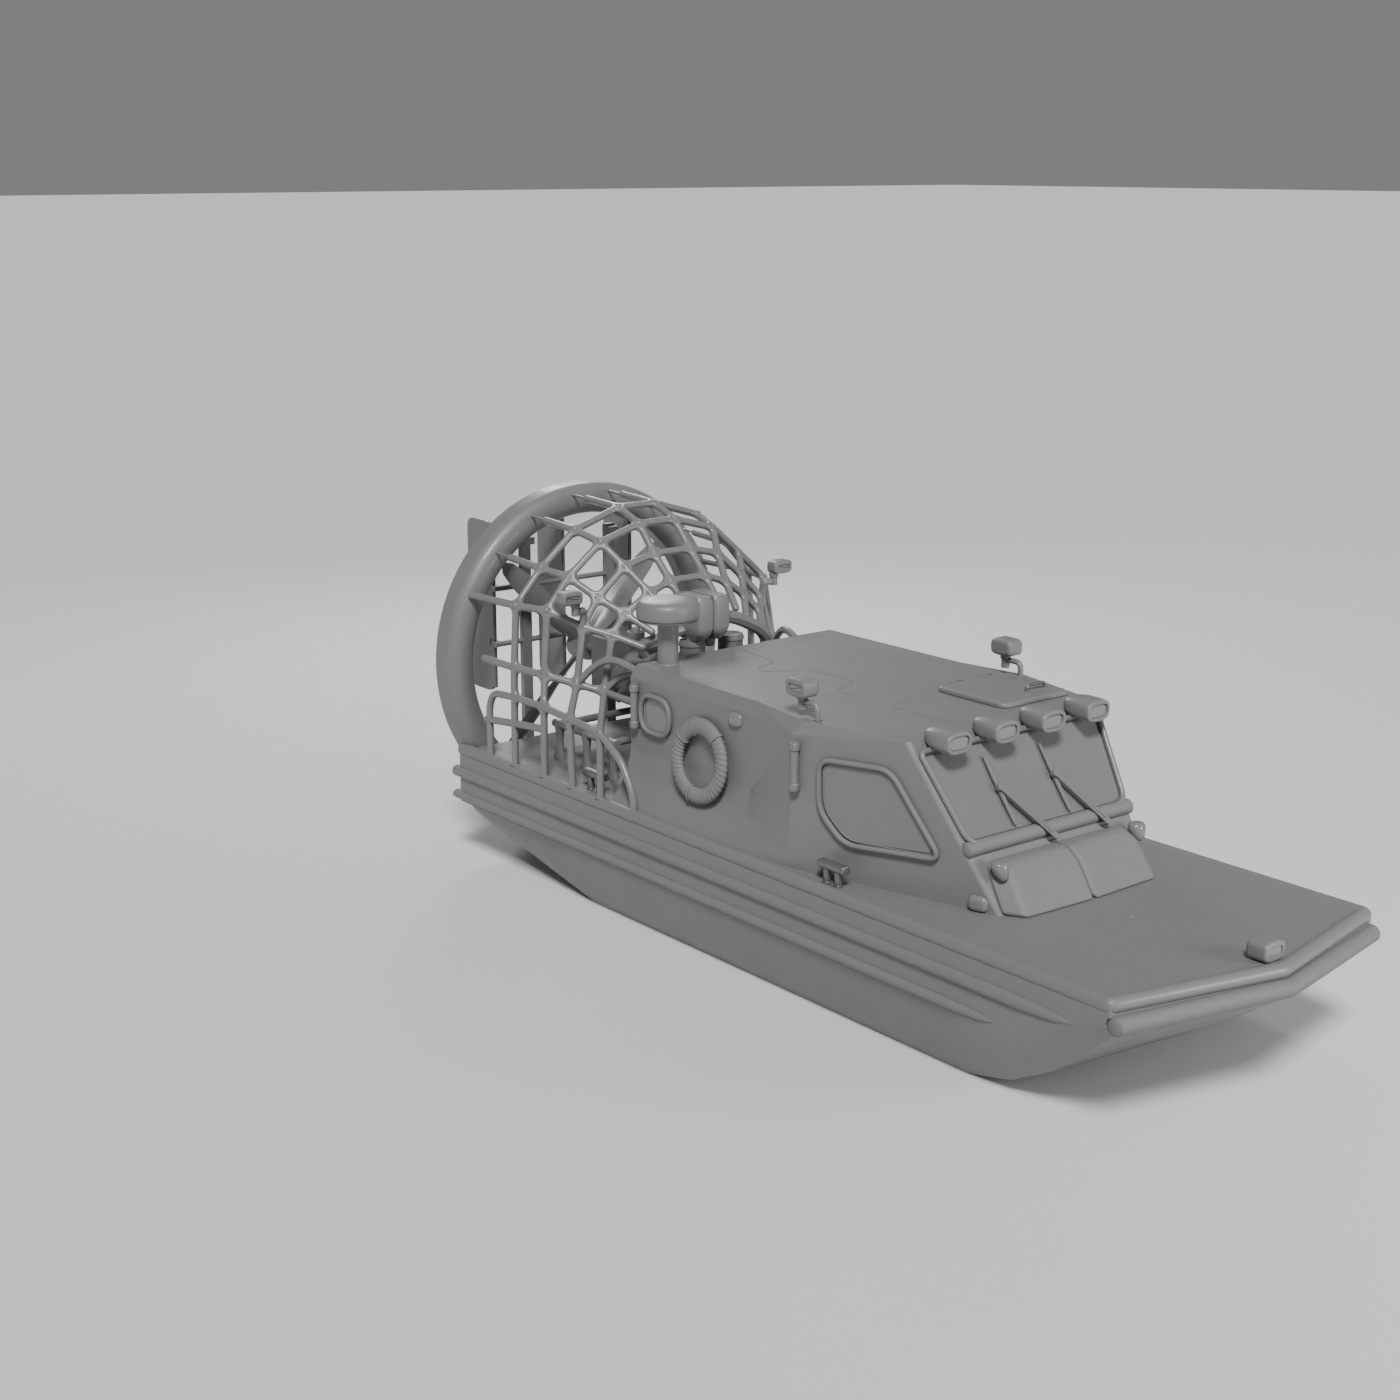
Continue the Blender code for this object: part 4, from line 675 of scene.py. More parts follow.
def build_cage():
    bm = bmesh.new()
    add_tubes(bm, cage_paths(), CAGE_R, corner=0.075, fine=3, steps=5)
    add_tubes(bm, webs(), CAGE_R * 0.97, corner=WEB, fine=2, steps=5)
    pins = [[stub_end(k), (DUCT_FACE - 0.030, *STUBS[k])] for k in STUBS]
    add_tubes(bm, pins + [flip_y(pin) for pin in pins], 0.010, fine=2)
    for spot in (hoop[k] for hoop in HOOPS for k in range(1, CROWN + 1)):
        for point in both_sides(spot):
            add_ball(bm, point, CAGE_R * 1.12, fine=10)
    for spot in [*TIPS.values(), *(stub_end(k) for k in STUBS), MID_RAIL_END, LOW_RAIL[0]]:
        for point in both_sides(spot):
            add_ball(bm, point, CAGE_R * 1.01)
    for hoop in HOOPS:
        for point in both_sides(hoop[0]):
            add_ball(bm, point + Vector((0, 0, 0.007)), CAGE_R * 1.5, squash=(1, 1, 0.25))
    print("cage:", len(cage_paths()), "tubes,", len(bm.faces), "faces")
    make("cage_tubes", bm, "tube", smooth=50.0, instead=("cage",))


build_cage()

# %% [markdown]
# ## The lifebuoy
# A lifebuoy is a foam ring with a woven skin, here bound with straps and with a padded sleeve over
# its upper part. A torus would give a round section only. So an oval is spun about the ring's axis,
# fine enough for the skin's slanted ribs to be modelled and not painted.

# %% An oval ring
BUOY = Vector((-0.403, -1.0618, 1.438))
BUOY_RING, BUOY_WIDE, BUOY_THICK = 0.252, 0.057, 0.036
BUOY_LEAN = math.radians(-5.8)
BUOY_PLACE = Matrix.Translation(BUOY) @ Matrix.Rotation(BUOY_LEAN, 4, "X")
BUOY_STRAPS = (48, 105, 145, 256)  # degrees from the bow, upwards
STRAP_TURN = 0.060  # radians of the ring that a strap covers


def spun_arc(wide, thick, start, turn, steps, around=28):
    """A stretch of an oval ring: its section is spun about the ring's axis, and the ends are closed."""
    bm = bmesh.new()
    spot = Matrix.Rotation(-start, 4, "Y") @ Matrix.Translation((BUOY_RING, 0, 0))
    oval = bmesh.ops.create_circle(bm, segments=around, radius=1.0, cap_ends=False,
                                   matrix=spot @ Matrix.Diagonal((wide, thick, 1, 1)))
    edges = list(dict.fromkeys(edge for vert in oval["verts"] for edge in vert.link_edges))
    full = math.isclose(turn, math.tau)
    bmesh.ops.spin(bm, geom=oval["verts"] + edges, cent=(0, 0, 0), axis=(0, -1, 0), dvec=(0, 0, 0),
                   angle=turn, steps=steps, use_merge=full, use_duplicate=False)
    if not full:
        bmesh.ops.holes_fill(bm, edges=[edge for edge in bm.edges if edge.is_boundary], sides=0)
    bmesh.ops.remove_doubles(bm, verts=bm.verts, dist=1e-5)
    bmesh.ops.recalc_face_normals(bm, faces=bm.faces)
    return bm


print("lifebuoy", round(2 * (BUOY_RING + BUOY_WIDE), 3), "m across")


# %% Ribs, sleeve and straps
def ribbed(bm, ribs=46, height=0.0024):
    """Push the skin out and in along slanted ribs."""
    bm.normal_update()
    for vert in bm.verts:
        around = math.atan2(vert.co.z, vert.co.x)
        across = math.atan2(vert.co.y, Vector((vert.co.x, vert.co.z)).length - BUOY_RING)
        vert.co += vert.normal * height * math.cos(ribs * around + 2.0 * across)
    return bm


def build_lifebuoy():
    low, _, high, _ = (math.radians(angle) for angle in BUOY_STRAPS)
    pieces = [("ring", ribbed(spun_arc(BUOY_WIDE, BUOY_THICK, 0.0, math.tau, 300))),
              ("sleeve", spun_arc(BUOY_WIDE + 0.006, BUOY_THICK + 0.004, low, high - low, 48))]
    for angle in BUOY_STRAPS:
        start = math.radians(angle) - STRAP_TURN / 2
        strap = spun_arc(BUOY_WIDE + 0.014, BUOY_THICK + 0.009, start, STRAP_TURN, 4)
        pieces.append((f"strap_{angle}", round_edges(strap, 0.004, 2, 60)))
    for name, bm in pieces:
        bm.transform(BUOY_PLACE)
        make(f"lifebuoy_{name}", bm, "buoy", smooth=60.0, instead=("lifebuoy",) if name == "ring" else ())


build_lifebuoy()
print("lifebuoy straps at", BUOY_STRAPS)

# %% [markdown]
# ## Driving lamps
# Four bullet-shaped lamps stand on the rail over the windshield. A squeezed ball would have no rim,
# so each starts as an oval, is drawn back through a few sizes to its closed tail, and its front is
# inset three times: for the rim, for the step down to the lens, and for the lens's own dome.

# %% Housings drawn from one oval
LAMP_X, LAMP_Z, LAMP_SCALE = 1.758, 1.976, 1.07
LAMP_YS = (-0.66, -0.22, 0.22, 0.66)
LAMP_ROWS = (  # x from the lens's edge, half width, half height, lift of the middle
    (0.022, 0.102, 0.060, 0.0), (0.021, 0.108, 0.065, 0.0), (0.015, 0.113, 0.070, 0.0),
    (-0.004, 0.116, 0.072, 0.0), (-0.050, 0.119, 0.074, 0.001), (-0.100, 0.118, 0.072, 0.003),
    (-0.145, 0.113, 0.067, 0.006), (-0.180, 0.103, 0.058, 0.010), (-0.206, 0.086, 0.045, 0.015),
    (-0.223, 0.062, 0.030, 0.019), (-0.232, 0.034, 0.015, 0.022), (-0.235, 0.012, 0.005, 0.023),
)


def drawn(bm, rows, sides=36):
    """Draw an oval back through rows of (x, half width, half height, lift) and close both ends."""
    x, wide, high, lift = rows[0]
    place = Matrix.Translation((x, 0, lift)) @ Matrix.Diagonal((1, wide, high, 1))
    oval = bmesh.ops.create_circle(bm, segments=sides, radius=1.0, cap_ends=True,
                                   matrix=place @ Matrix.Rotation(math.pi / 2, 4, "Y"))
    front = oval["verts"][0].link_faces[0]
    edges = list(front.edges)
    for row in rows[1:]:
        nx, nwide, nhigh, nlift = row
        grown = bmesh.ops.extrude_edge_only(bm, edges=edges)["geom"]
        verts = [item for item in grown if isinstance(item, bmesh.types.BMVert)]
        edges = [item for item in grown
                 if isinstance(item, bmesh.types.BMEdge) and all(vert in verts for vert in item.verts)]
        bmesh.ops.scale(bm, vec=(1, nwide / wide, nhigh / high), verts=verts,
                        space=Matrix.Translation((0, 0, -lift)))
        bmesh.ops.translate(bm, vec=(nx - x, 0, nlift - lift), verts=verts)
        x, wide, high, lift = row
    bmesh.ops.contextual_create(bm, geom=edges)
    return front


def drawn_box(rows, power=0.5, sides=40):
    """Like drawn, with each section pushed from an oval towards a rectangle."""
    bm = bmesh.new()
    front = drawn(bm, rows, sides)
    for vert in bm.verts:
        _, wide, high, lift = min(rows, key=lambda row: abs(row[0] - vert.co.x))
        y, z = vert.co.y / wide, (vert.co.z - lift) / high
        vert.co.y = math.copysign(abs(y) ** power, y) * wide
        vert.co.z = math.copysign(abs(z) ** power, z) * high + lift
    return bm, front


print("a lamp's housing has", len(LAMP_ROWS), "rows")


# %% Lenses and the four lamps
def recessed_lens(bm, front, rim, depth):
    """Inset a front face for its rim, push the middle in and give it the lens's material."""
    for inward, forward in ((rim, 0.0), (rim * 0.15, -depth), (rim * 0.9, depth * 0.35)):
        bmesh.ops.inset_individual(bm, faces=[front], thickness=inward, depth=forward, use_even_offset=True)
    for face in {near for edge in front.edges for near in edge.link_faces}:
        face.material_index = 1


def build_lamps():
    for i, y in enumerate(LAMP_YS):
        bm, front = drawn_box(LAMP_ROWS, power=0.72)
        recessed_lens(bm, front, 0.013, 0.015)
        bmesh.ops.recalc_face_normals(bm, faces=bm.faces)
        bmesh.ops.scale(bm, vec=(LAMP_SCALE, 1, LAMP_SCALE), verts=bm.verts)
        bmesh.ops.translate(bm, vec=(LAMP_X, y, LAMP_Z), verts=bm.verts)
        lamp = make(f"driving_lamp_{i}", bm, "lamp", smooth=42.0)
        lamp.data.materials.append(FINISH["lens"])


build_lamps()
print("driving lamps at y", LAMP_YS)

# %% [markdown]
# ## Lamps on stalks and on the foredeck
# The searchlights, work lights and bow lamp are moulded boxes with soft corners. A bevelled cube
# would have sharp seams at its corners. So they are drawn back as the driving lamps are, but from
# an oval whose points are pushed towards a rectangle's corners.


# %% Lamps drawn from a soft rectangle
def lamp_rows(depth, wide, high, soft):
    """Rows of a box lamp: a rim at the front, straight sides and a rounded back."""
    rows = [(0.0, wide - soft * 0.55, high - soft * 0.55, 0.0)]
    for k in range(1, 5):
        a = math.radians(90 - 22.5 * k)
        rows.append((-soft * 0.5 * (1 - math.sin(a)), wide - soft * 0.5 * (1 - math.cos(a)),
                     high - soft * 0.5 * (1 - math.cos(a)), 0.0))
    for k in range(0, 6):
        a = math.radians(16 * k)
        rows.append((-depth + soft * (1 - math.sin(a)), wide - soft * (1 - math.cos(a)),
                     high - soft * (1 - math.cos(a)), 0.0))
    return rows


def facing(place, out, up=(0, 0, 1)):
    """The matrix that stands a lamp drawn along x at a place, looking outwards."""
    out, up = Vector(out).normalized(), Vector(up)
    side = up.cross(out).normalized()
    turn = Matrix((out, side, out.cross(side))).transposed().to_4x4()
    return Matrix.Translation(place) @ turn


def lit(bm, front, rim, depth, place, name, instead=()):
    """Finish a lamp: recess its lens, set it in place and give the lens its own finish."""
    recessed_lens(bm, front, rim, depth)
    bmesh.ops.recalc_face_normals(bm, faces=bm.faces)
    bm.transform(place)
    made = make(name, bm, "lamp", smooth=50.0, instead=instead)
    made.data.materials.append(FINISH["lens"])


def add_disc(bm, centre, radius, height, soft=0.004, up=(0, 0, 1), sides=28):
    """A round plate with soft edges, its middle at the centre."""
    turn = Vector(up).to_track_quat("Z", "Y").to_matrix().to_4x4()
    made = bmesh.ops.create_cone(bm, cap_ends=True, segments=sides, radius1=radius, radius2=radius,
                                 depth=height, matrix=Matrix.Translation(centre) @ turn)
    edges = dict.fromkeys(edge for vert in made["verts"] for edge in vert.link_edges)
    bevel(bm, [edge for edge in edges if edge.calc_face_angle(0.0) > 1.0], soft, 2)


print("a box lamp has", len(lamp_rows(0.1, 0.1, 0.1, 0.03)), "rows")

# %% Searchlights
HEAD = (0.205, 0.140, 0.124)  # a searchlight's head: along x, along y, height
HEAD_PLACE = (0.607, 0.975, ROOF + 0.200)
STEM_X = 0.757
SOFT = 0.034  # how far the lamps' corners are rounded
SWIVEL = ((0.007, 0.038, 0.038), (0.059, 0.031, 0.070))  # drop below the head, radius, height
NECK_R, NECK_FOOT = 0.021, (0.034, 0.010)  # its tube, and its foot's radius and height


def swivel(bm, x, y, top):
    """The stepped discs under a lamp's head."""
    for drop, radius, height in SWIVEL:
        add_disc(bm, (x, y, top - drop), radius, height)


def build_searchlight(tag, side):
    x, y, z = HEAD_PLACE
    long, deep, high = HEAD
    bm, front = drawn_box(lamp_rows(deep, long / 2, high / 2, SOFT))
    place = facing((x, side * (y + deep / 2), z), (0, side, 0))
    lit(bm, front, 0.014, 0.010, place, f"searchlight_{tag}_head", (f"searchlight_{tag}",))
    low = z - high / 2
    neck = [(STEM_X, side * y, ROOF + 0.0006), (STEM_X, side * y, low - 0.030),
            (x + 0.028, side * y, low - 0.036)]
    bm = bmesh.new()
    swivel(bm, x, side * y, low)
    add_tubes(bm, [neck], NECK_R, corner=0.055, fine=4)
    add_disc(bm, (STEM_X, side * y, ROOF + 0.006), *NECK_FOOT)
    make(f"searchlight_{tag}_neck", bm, "lamp")


SIDES = (("r", -1), ("l", 1))
for tag, side in SIDES:
    build_searchlight(tag, side)
print("searchlights at", HEAD_PLACE)


# %% Work lights and the bow lamp
WORK_HEAD = (0.120, 0.190, 0.108)
WORK_PLACE = (-2.018, 1.046, 2.362)
WORK_SWIVEL_Y = 0.990
BOW_AFT, BOW_FORE, BOW_HALF, BOW_HIGH = 3.645, 3.805, 0.098, 0.130


def build_work_light(tag, side):
    x, y, z = WORK_PLACE
    deep, long, high = WORK_HEAD
    bm, front = drawn_box(lamp_rows(deep, long / 2, high / 2, SOFT))
    place = facing((x + deep / 2, side * y, z), (1, 0, 0))
    lit(bm, front, 0.013, 0.010, place, f"work_light_{tag}_head", (f"work_light_{tag}",))
    bm = bmesh.new()
    swivel(bm, x, side * WORK_SWIVEL_Y, z - high / 2)
    make(f"work_light_{tag}_joint", bm, "lamp")


for tag, side in SIDES:
    build_work_light(tag, side)
bm, front = drawn_box(lamp_rows(BOW_FORE - BOW_AFT, BOW_HALF, BOW_HIGH / 2, 0.036), power=0.55)
place = facing((BOW_FORE, 0, DECK + BOW_HIGH / 2), (1, 0, 0))
lit(bm, front, 0.012, 0.010, place, "bow_lamp_housing", ("bow_lamp",))
print("work lights at", WORK_PLACE)

# %% [markdown]
# ## Bollards
# A mooring line is belayed round a bollard: a pill-shaped bar on two posts with a footplate each. It
# could be one bevelled block, but the gap under the bar is what the line passes through, so bar,
# posts and plates are made apart and overlap as welded parts do.

# %% Bollards
POST_APART, BAR_WIDE, BAR_HIGH, PLATE = 0.055, 0.036, 0.030, 0.012
POST_R, PLATE_R, WEB_R, WEB_HIGH = 0.027, 0.036, 0.034, 0.010


def build_bollard(node):
    """A pill-shaped bar on two short posts, which stand on footplates."""
    low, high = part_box(node)
    middle = (Vector(low) + Vector(high)) / 2
    half, under = (high[0] - low[0]) / 2, high[2] - BAR_HIGH
    bm, _ = drawn_box(lamp_rows(2 * half, BAR_WIDE, BAR_HIGH, 0.030), power=0.62)
    bm.transform(Matrix.Translation((middle.x + half, middle.y, under)))
    for x in (middle.x - POST_APART, middle.x + POST_APART):
        add_disc(bm, (x, middle.y, (low[2] + under) / 2), POST_R, under - low[2])
        add_disc(bm, (x, middle.y, low[2] + PLATE / 2), PLATE_R, PLATE, 0.003)
    add_disc(bm, (middle.x, middle.y, low[2] + WEB_HIGH / 2), WEB_R, WEB_HIGH, 0.003)
    bmesh.ops.recalc_face_normals(bm, faces=bm.faces)
    make(node + "_bar", bm, "deck_metal", smooth=50.0, instead=(node,))


BOLLARDS = ("bollard_fore_r", "bollard_fore_l", "bollard_aft_r", "bollard_aft_l")
for node in BOLLARDS:
    build_bollard(node)
print("bollards:", len(BOLLARDS))

# %% [markdown]
# ## Small lamps on the walls and on the hood
# The marker lamps are flat domed pads, and the hood's two lamps are teardrops that lean forward.
# Spinning would make them round, so each is drawn through rows of its own half sizes instead.

# %% Marker lamps and the hood's teardrop lamps
PAD_ROWS = (  # height over the wall, half length, half height, lift
    (0.032, 0.024, 0.014, 0.0), (0.031, 0.036, 0.024, 0.0), (0.027, 0.048, 0.034, 0.0),
    (0.019, 0.057, 0.041, 0.0), (0.009, 0.061, 0.045, 0.0), (0.0005, 0.062, 0.046, 0.0),
)
PAD_STRETCH = (1.0, 1.12, 1.15)
PADS = (  # name, place on the port side and that wall's normal
    ("roof", (-0.066, 1.000, 1.805), (0, 1, 0)),
    ("fore", (2.085, 0.764, 1.005), (0.2648, 0.964, 0.012)),
)
for name, (x, y, z), (nx, ny, nz) in PADS:
    for tag, side in SIDES:
        bm, _ = drawn_box(PAD_ROWS, power=0.6)
        bmesh.ops.scale(bm, vec=PAD_STRETCH, verts=bm.verts)
        bmesh.ops.recalc_face_normals(bm, faces=bm.faces)
        bm.transform(facing((x, side * y, z), (nx, side * ny, nz)))
        make(f"marker_{name}_{tag}", bm, "lamp", finish="lens", smooth=60.0)

HOOD_LAMP = (2.160, 0.655, 1.235)
TEAR_ROWS = (  # height, half width, half depth, how far it leans forward
    (0.0500, 0.022, 0.018, -0.006), (0.0495, 0.040, 0.036, -0.006), (0.046, 0.053, 0.048, -0.005),
    (0.038, 0.060, 0.055, -0.003), (0.020, 0.063, 0.060, 0.000), (0.000, 0.060, 0.057, 0.005),
    (-0.020, 0.054, 0.052, 0.010), (-0.040, 0.044, 0.044, 0.018), (-0.058, 0.031, 0.032, 0.026),
    (-0.068, 0.018, 0.019, 0.031), (-0.072, 0.006, 0.007, 0.034),
)
UPRIGHT = Matrix(((0, 0, 1, 0), (0, 1, 0, 0), (1, 0, 0, 0), (0, 0, 0, 1)))  # swaps x and z
for tag, side in SIDES:
    bm = bmesh.new()
    drawn(bm, TEAR_ROWS)
    bm.transform(Matrix.Translation((HOOD_LAMP[0], side * HOOD_LAMP[1], HOOD_LAMP[2])) @ UPRIGHT)
    bmesh.ops.recalc_face_normals(bm, faces=bm.faces)
    make(f"hood_lamp_{tag}_lens", bm, "lamp", finish="lens", smooth=60.0, instead=(f"hood_lamp_{tag}",))
print("markers:", [name for name, *_ in PADS])

# %% [markdown]
# ## Window rims
# Each window lies behind a fat half-round rim that throws rain off the pane. It could be cut from
# the wall with a boolean, but a rim is a part of its own, so it is a closed tube that is bent round
# the window on the wall's plane, with a thin gasket inside it.

# %% Rims that follow the walls
RIM_R = 0.020
GASKET_R, GASKET_IN, GASKET_LIFT = 0.007, 0.034, 0.006
SIDE_WINDOW = ((0.905, 1.755), (1.435, 1.772), (1.822, 1.240), (1.110, 1.205), (0.915, 1.405))  # x, z
AFT_WINDOW = ((-1.150, 1.785), (-0.805, 1.785), (-0.805, 1.508), (-1.150, 1.508))


def rim(name, corners, out, node, corner=0.10):
    """A fat rim and, inside it, the thin gasket that grips the pane."""
    bm = bmesh.new()
    add_tubes(bm, [[p + out * RIM_R for p in corners]], RIM_R, corner=corner, closed=True, fine=3)
    make(name + "_rim", bm, "window_frame", smooth=60.0, instead=(node,))
    middle = sum(corners, Vector()) / len(corners)
    inner = [p + (middle - p).normalized() * GASKET_IN + out * GASKET_LIFT for p in corners]
    bm = bmesh.new()
    add_tubes(bm, [inner], GASKET_R, corner=corner * 0.85, closed=True, fine=2)
    make(name + "_gasket", bm, "window_frame", finish="rubber", smooth=60.0)


for tag, side in SIDES:
    wall = Vector((-SIDE_WALL[1], side, -SIDE_WALL[2])).normalized()
    corners = [Vector((x, side * side_y(x, z), z)) for x, z in SIDE_WINDOW]
    rim(f"side_window_{tag}", corners, wall, f"side_frame_{tag}")
    corners = [Vector((x, side * 1.0, z)) for x, z in AFT_WINDOW]
    rim(f"aft_window_{tag}", corners, Vector((0, side, 0)), f"aft_frame_{tag}", 0.135)
print("rims: side windows with", len(SIDE_WINDOW), "corners, aft windows with", len(AFT_WINDOW))

# %% [markdown]
# ## Windshield frame, lamp rail and sill
# The windshield's frame is one loop of tube. Its top is the rail that carries the lamps and its foot
# runs along a thick padded sill. The loop is cut just below its upper corners, because the rail and
# the frame are two parts of the model, and both halves share those two points.

# %% The windshield's loop
SHIELD = ((1.900, -0.845), (1.900, 0.845), (1.352, 0.745), (1.352, -0.745))  # z, y
FRONT_OUT = Vector((1.0, 0.0, RAKE)).normalized()
FRONT_UP = Vector((-RAKE, 0.0, 1.0)).normalized()


def shield_point(y, z, lift=0.0):
    return Vector((front_x(z), y, z)) + FRONT_OUT * lift


loop = [shield_point(y, z, RIM_R + 0.0006) for z, y in SHIELD]
ELBOW = 0.09
elbows = [top + (foot - top).normalized() * ELBOW for top, foot in ((loop[0], loop[3]), (loop[1], loop[2]))]
bm = bmesh.new()
add_tubes(bm, [[elbows[0], loop[0], loop[1], elbows[1]]], RIM_R, corner=0.06, fine=4)
for y in LAMP_YS:
    foot = Vector((loop[0].x, y, loop[0].z))
    add_tubes(bm, [[foot, (LAMP_X - 0.09, y, LAMP_Z - 0.02)]], 0.021, fine=3)
    add_disc(bm, (LAMP_X - 0.11, y, LAMP_Z - 0.060), 0.032, 0.020)
make("lamp_rail", bm, "lamp", finish="tube", instead=("light_bar",))
bm = bmesh.new()
add_tubes(bm, [[elbows[0], loop[3], loop[2], elbows[1]]], RIM_R, corner=0.10, fine=4)
make("windshield_rim", bm, "window_frame", finish="tube", instead=("windshield_frame",))
print("windshield loop corners", [[round(c, 3) for c in p] for p in loop])

# %% The padded sill
SILL_HALF, SILL_DEEP, SILL_HIGH, SILL_DROP = 0.790, 0.050, 0.052, 0.024
DOMED = 0.02
bm = bmesh.new()
add_tubes(bm, [[(0, -SILL_HALF + DOMED, 0), (0, SILL_HALF - DOMED, 0)]], 1.0, fine=6)
for y in (-SILL_HALF + DOMED, SILL_HALF - DOMED):
    add_ball(bm, (0, y, 0), 1.0, squash=(1, DOMED, 1), fine=28)
SILL_PLACE = (loop[2] + loop[3]) / 2 - FRONT_OUT * RIM_R - FRONT_UP * SILL_DROP
turn = Matrix((FRONT_OUT * SILL_DEEP, (0, 1, 0), FRONT_UP * SILL_HIGH)).transposed().to_4x4()
bm.transform(Matrix.Translation(SILL_PLACE) @ turn)
make("windshield_sill", bm, "window_frame", smooth=60.0)
print("sill", 2 * SILL_HALF, "m long")

# %% [markdown]
# ## Wipers
# A wiper has a pivot at the scuttle, two thin arms side by side, a hub and a blade, whose backbone is
# thicker in its middle. All of it stands off the pane by a few centimetres, so it is built on points
# of the windshield's plane, each lifted along the plane's normal.

# %% Wipers
WIPERS = (  # pivot, hub, blade top and blade foot on the windshield's plane, as (y, z)
    ("wiper_r", (-0.040, 1.276), (-0.330, 1.606), (-0.338, 1.791), (-0.307, 1.399)),
    ("wiper_l", (0.468, 1.276), (0.191, 1.606), (0.186, 1.792), (0.209, 1.398)),
)
BLADE = ((0.0, 0.0125), (0.14, 0.0150), (0.30, 0.0165))  # how far in each layer starts, its radius
ARM_R, ARM_APART, BLADE_LIFT = 0.0115, 0.0125, 0.028
POST = (0.026, 0.070, 0.006)  # the pivot's radius, height and edge
HUB = (0.025, 0.044, 0.008)  # and the hub's
for node, pivot, hub, top, foot in WIPERS:
    bm = bmesh.new()
    post, knee = shield_point(*pivot, 0.062), shield_point(*hub, 0.058)
    aside = (knee - post).cross(FRONT_OUT).normalized() * ARM_APART
    add_disc(bm, shield_point(*pivot, 0.036), *POST, FRONT_OUT)
    add_tubes(bm, [[post + aside, knee + aside * 0.6], [post - aside, knee - aside * 0.6]], ARM_R, fine=3)
    add_disc(bm, shield_point(*hub, 0.046), *HUB, FRONT_OUT)
    blade = [shield_point(*top, BLADE_LIFT), shield_point(*foot, BLADE_LIFT)]
    for share, width in BLADE:
        inner = [blade[0].lerp(blade[1], share), blade[1].lerp(blade[0], share)]
        add_tubes(bm, [inner], width, fine=3)
        for end in inner:
            add_ball(bm, end, width, fine=10)
    make(node + "_arm", bm, "rubber", smooth=50.0, instead=(node,))
print("wipers:", [row[0] for row in WIPERS])

# %% [markdown]
# ## Grab rails
# Whoever walks along the side deck holds on to an upright bar at each end of the cabin. It is a tube
# between two sleeves, and it stands off the wall by the width of a hand's fingers.

# %% Grab rails
GRAB_RAILS = (  # name, x, |y| of the wall, z low, z high
    ("aft", -1.215, 1.000, 1.50, 1.845), ("fore", 0.740, 1.123, 1.50, 1.850),
)
GRAB_STAND = 0.031
for name, x, wall, low, high in GRAB_RAILS:
    for tag, side in SIDES:
        bm = bmesh.new()
        y = side * (wall + GRAB_STAND)
        add_tubes(bm, [[(x, y, low + 0.03), (x, y, high - 0.03)]], 0.029, fine=5)
        for z in (low + 0.035, high - 0.035):
            add_disc(bm, (x, y, z), 0.037, 0.062, 0.014)
        make(f"grab_rail_{name}_{tag}", bm, "cabin", finish="tube", smooth=50.0)
print("grab rails:", 2 * len(GRAB_RAILS))

# %% [markdown]
# ## The gunwale
# The deck and the side meet under a thick rolled bead, which runs from the transom along the side,
# across the blunt bow and back. A wide bevel of the hull's own edge would round it but draw no line
# on the deck, so the bead is a tube sunk into the edge, proud of it by a finger's width.

# %% Gunwale bead
TRANSOM_X, BOW_X, BOW_VEE, HALF_BEAM = -3.318, 3.61, 0.28, 1.25
BEAD_R = 0.052
BEAD_Y, BEAD_Z, BEAD_IN = HALF_BEAM - 0.040, DECK - 0.038, 0.037


def bow_x(y):
    """x of the hull's blunt fore face, which runs ahead to its middle."""
    return BOW_X + BOW_VEE * (1 - abs(y) / HALF_BEAM)


aft = (TRANSOM_X, -BEAD_Y, BEAD_Z)
elbow, tip = ((bow_x(y) - BEAD_IN, y, BEAD_Z) for y in (-BEAD_Y, 0.0))
bm = bmesh.new()
add_tubes(bm, [[aft, elbow, tip, *flip_y([elbow, aft])]], BEAD_R, corner=0.02, fine=8)
for side in (-1, 1):
    add_ball(bm, (TRANSOM_X, side * BEAD_Y, BEAD_Z), BEAD_R, fine=20)
make("gunwale_bead", bm, "hull", smooth=60.0)
print("gunwale bead from x", TRANSOM_X, "to", round(tip[0], 3))

# %% [markdown]
# ## Bow fender
# A rubber roll below the bead takes the knocks of a landing. A plain tube would end in cut discs, so
# two flattened balls dome its ends, flush with the boat's sides, and nothing catches on them.

# %% Bow fender
FENDER_R, FENDER_Z, FENDER_Y = 0.060, 0.800, 1.224
DOME = 0.45


def fender_spot(y):
    return bow_x(y) + 0.022, y, FENDER_Z + 0.02 * (1 - abs(y) / FENDER_Y)


spots = [fender_spot(y) for y in (-FENDER_Y, -0.6, 0.0, 0.6, FENDER_Y)]
bm = bmesh.new()
add_tubes(bm, [spots], FENDER_R, fine=8)
for spot in (spots[0], spots[-1]):
    add_ball(bm, spot, FENDER_R, (1, DOME, 1), fine=24)
make("bow_fender_roll", bm, SLOTS["bow_fender"], smooth=60.0, instead=("bow_fender",))
print("fender ends at y", round(FENDER_Y + DOME * FENDER_R, 3))

# %% [markdown]
# ## The roof hatch
# The hatch is a pressed plate with round corners. One bevel on all edges would round plan and rim
# alike, so its plan is rounded first and its top edge second, and a shallow inset draws the
# pressing. Its grip and its hinge's leaves turn with it.

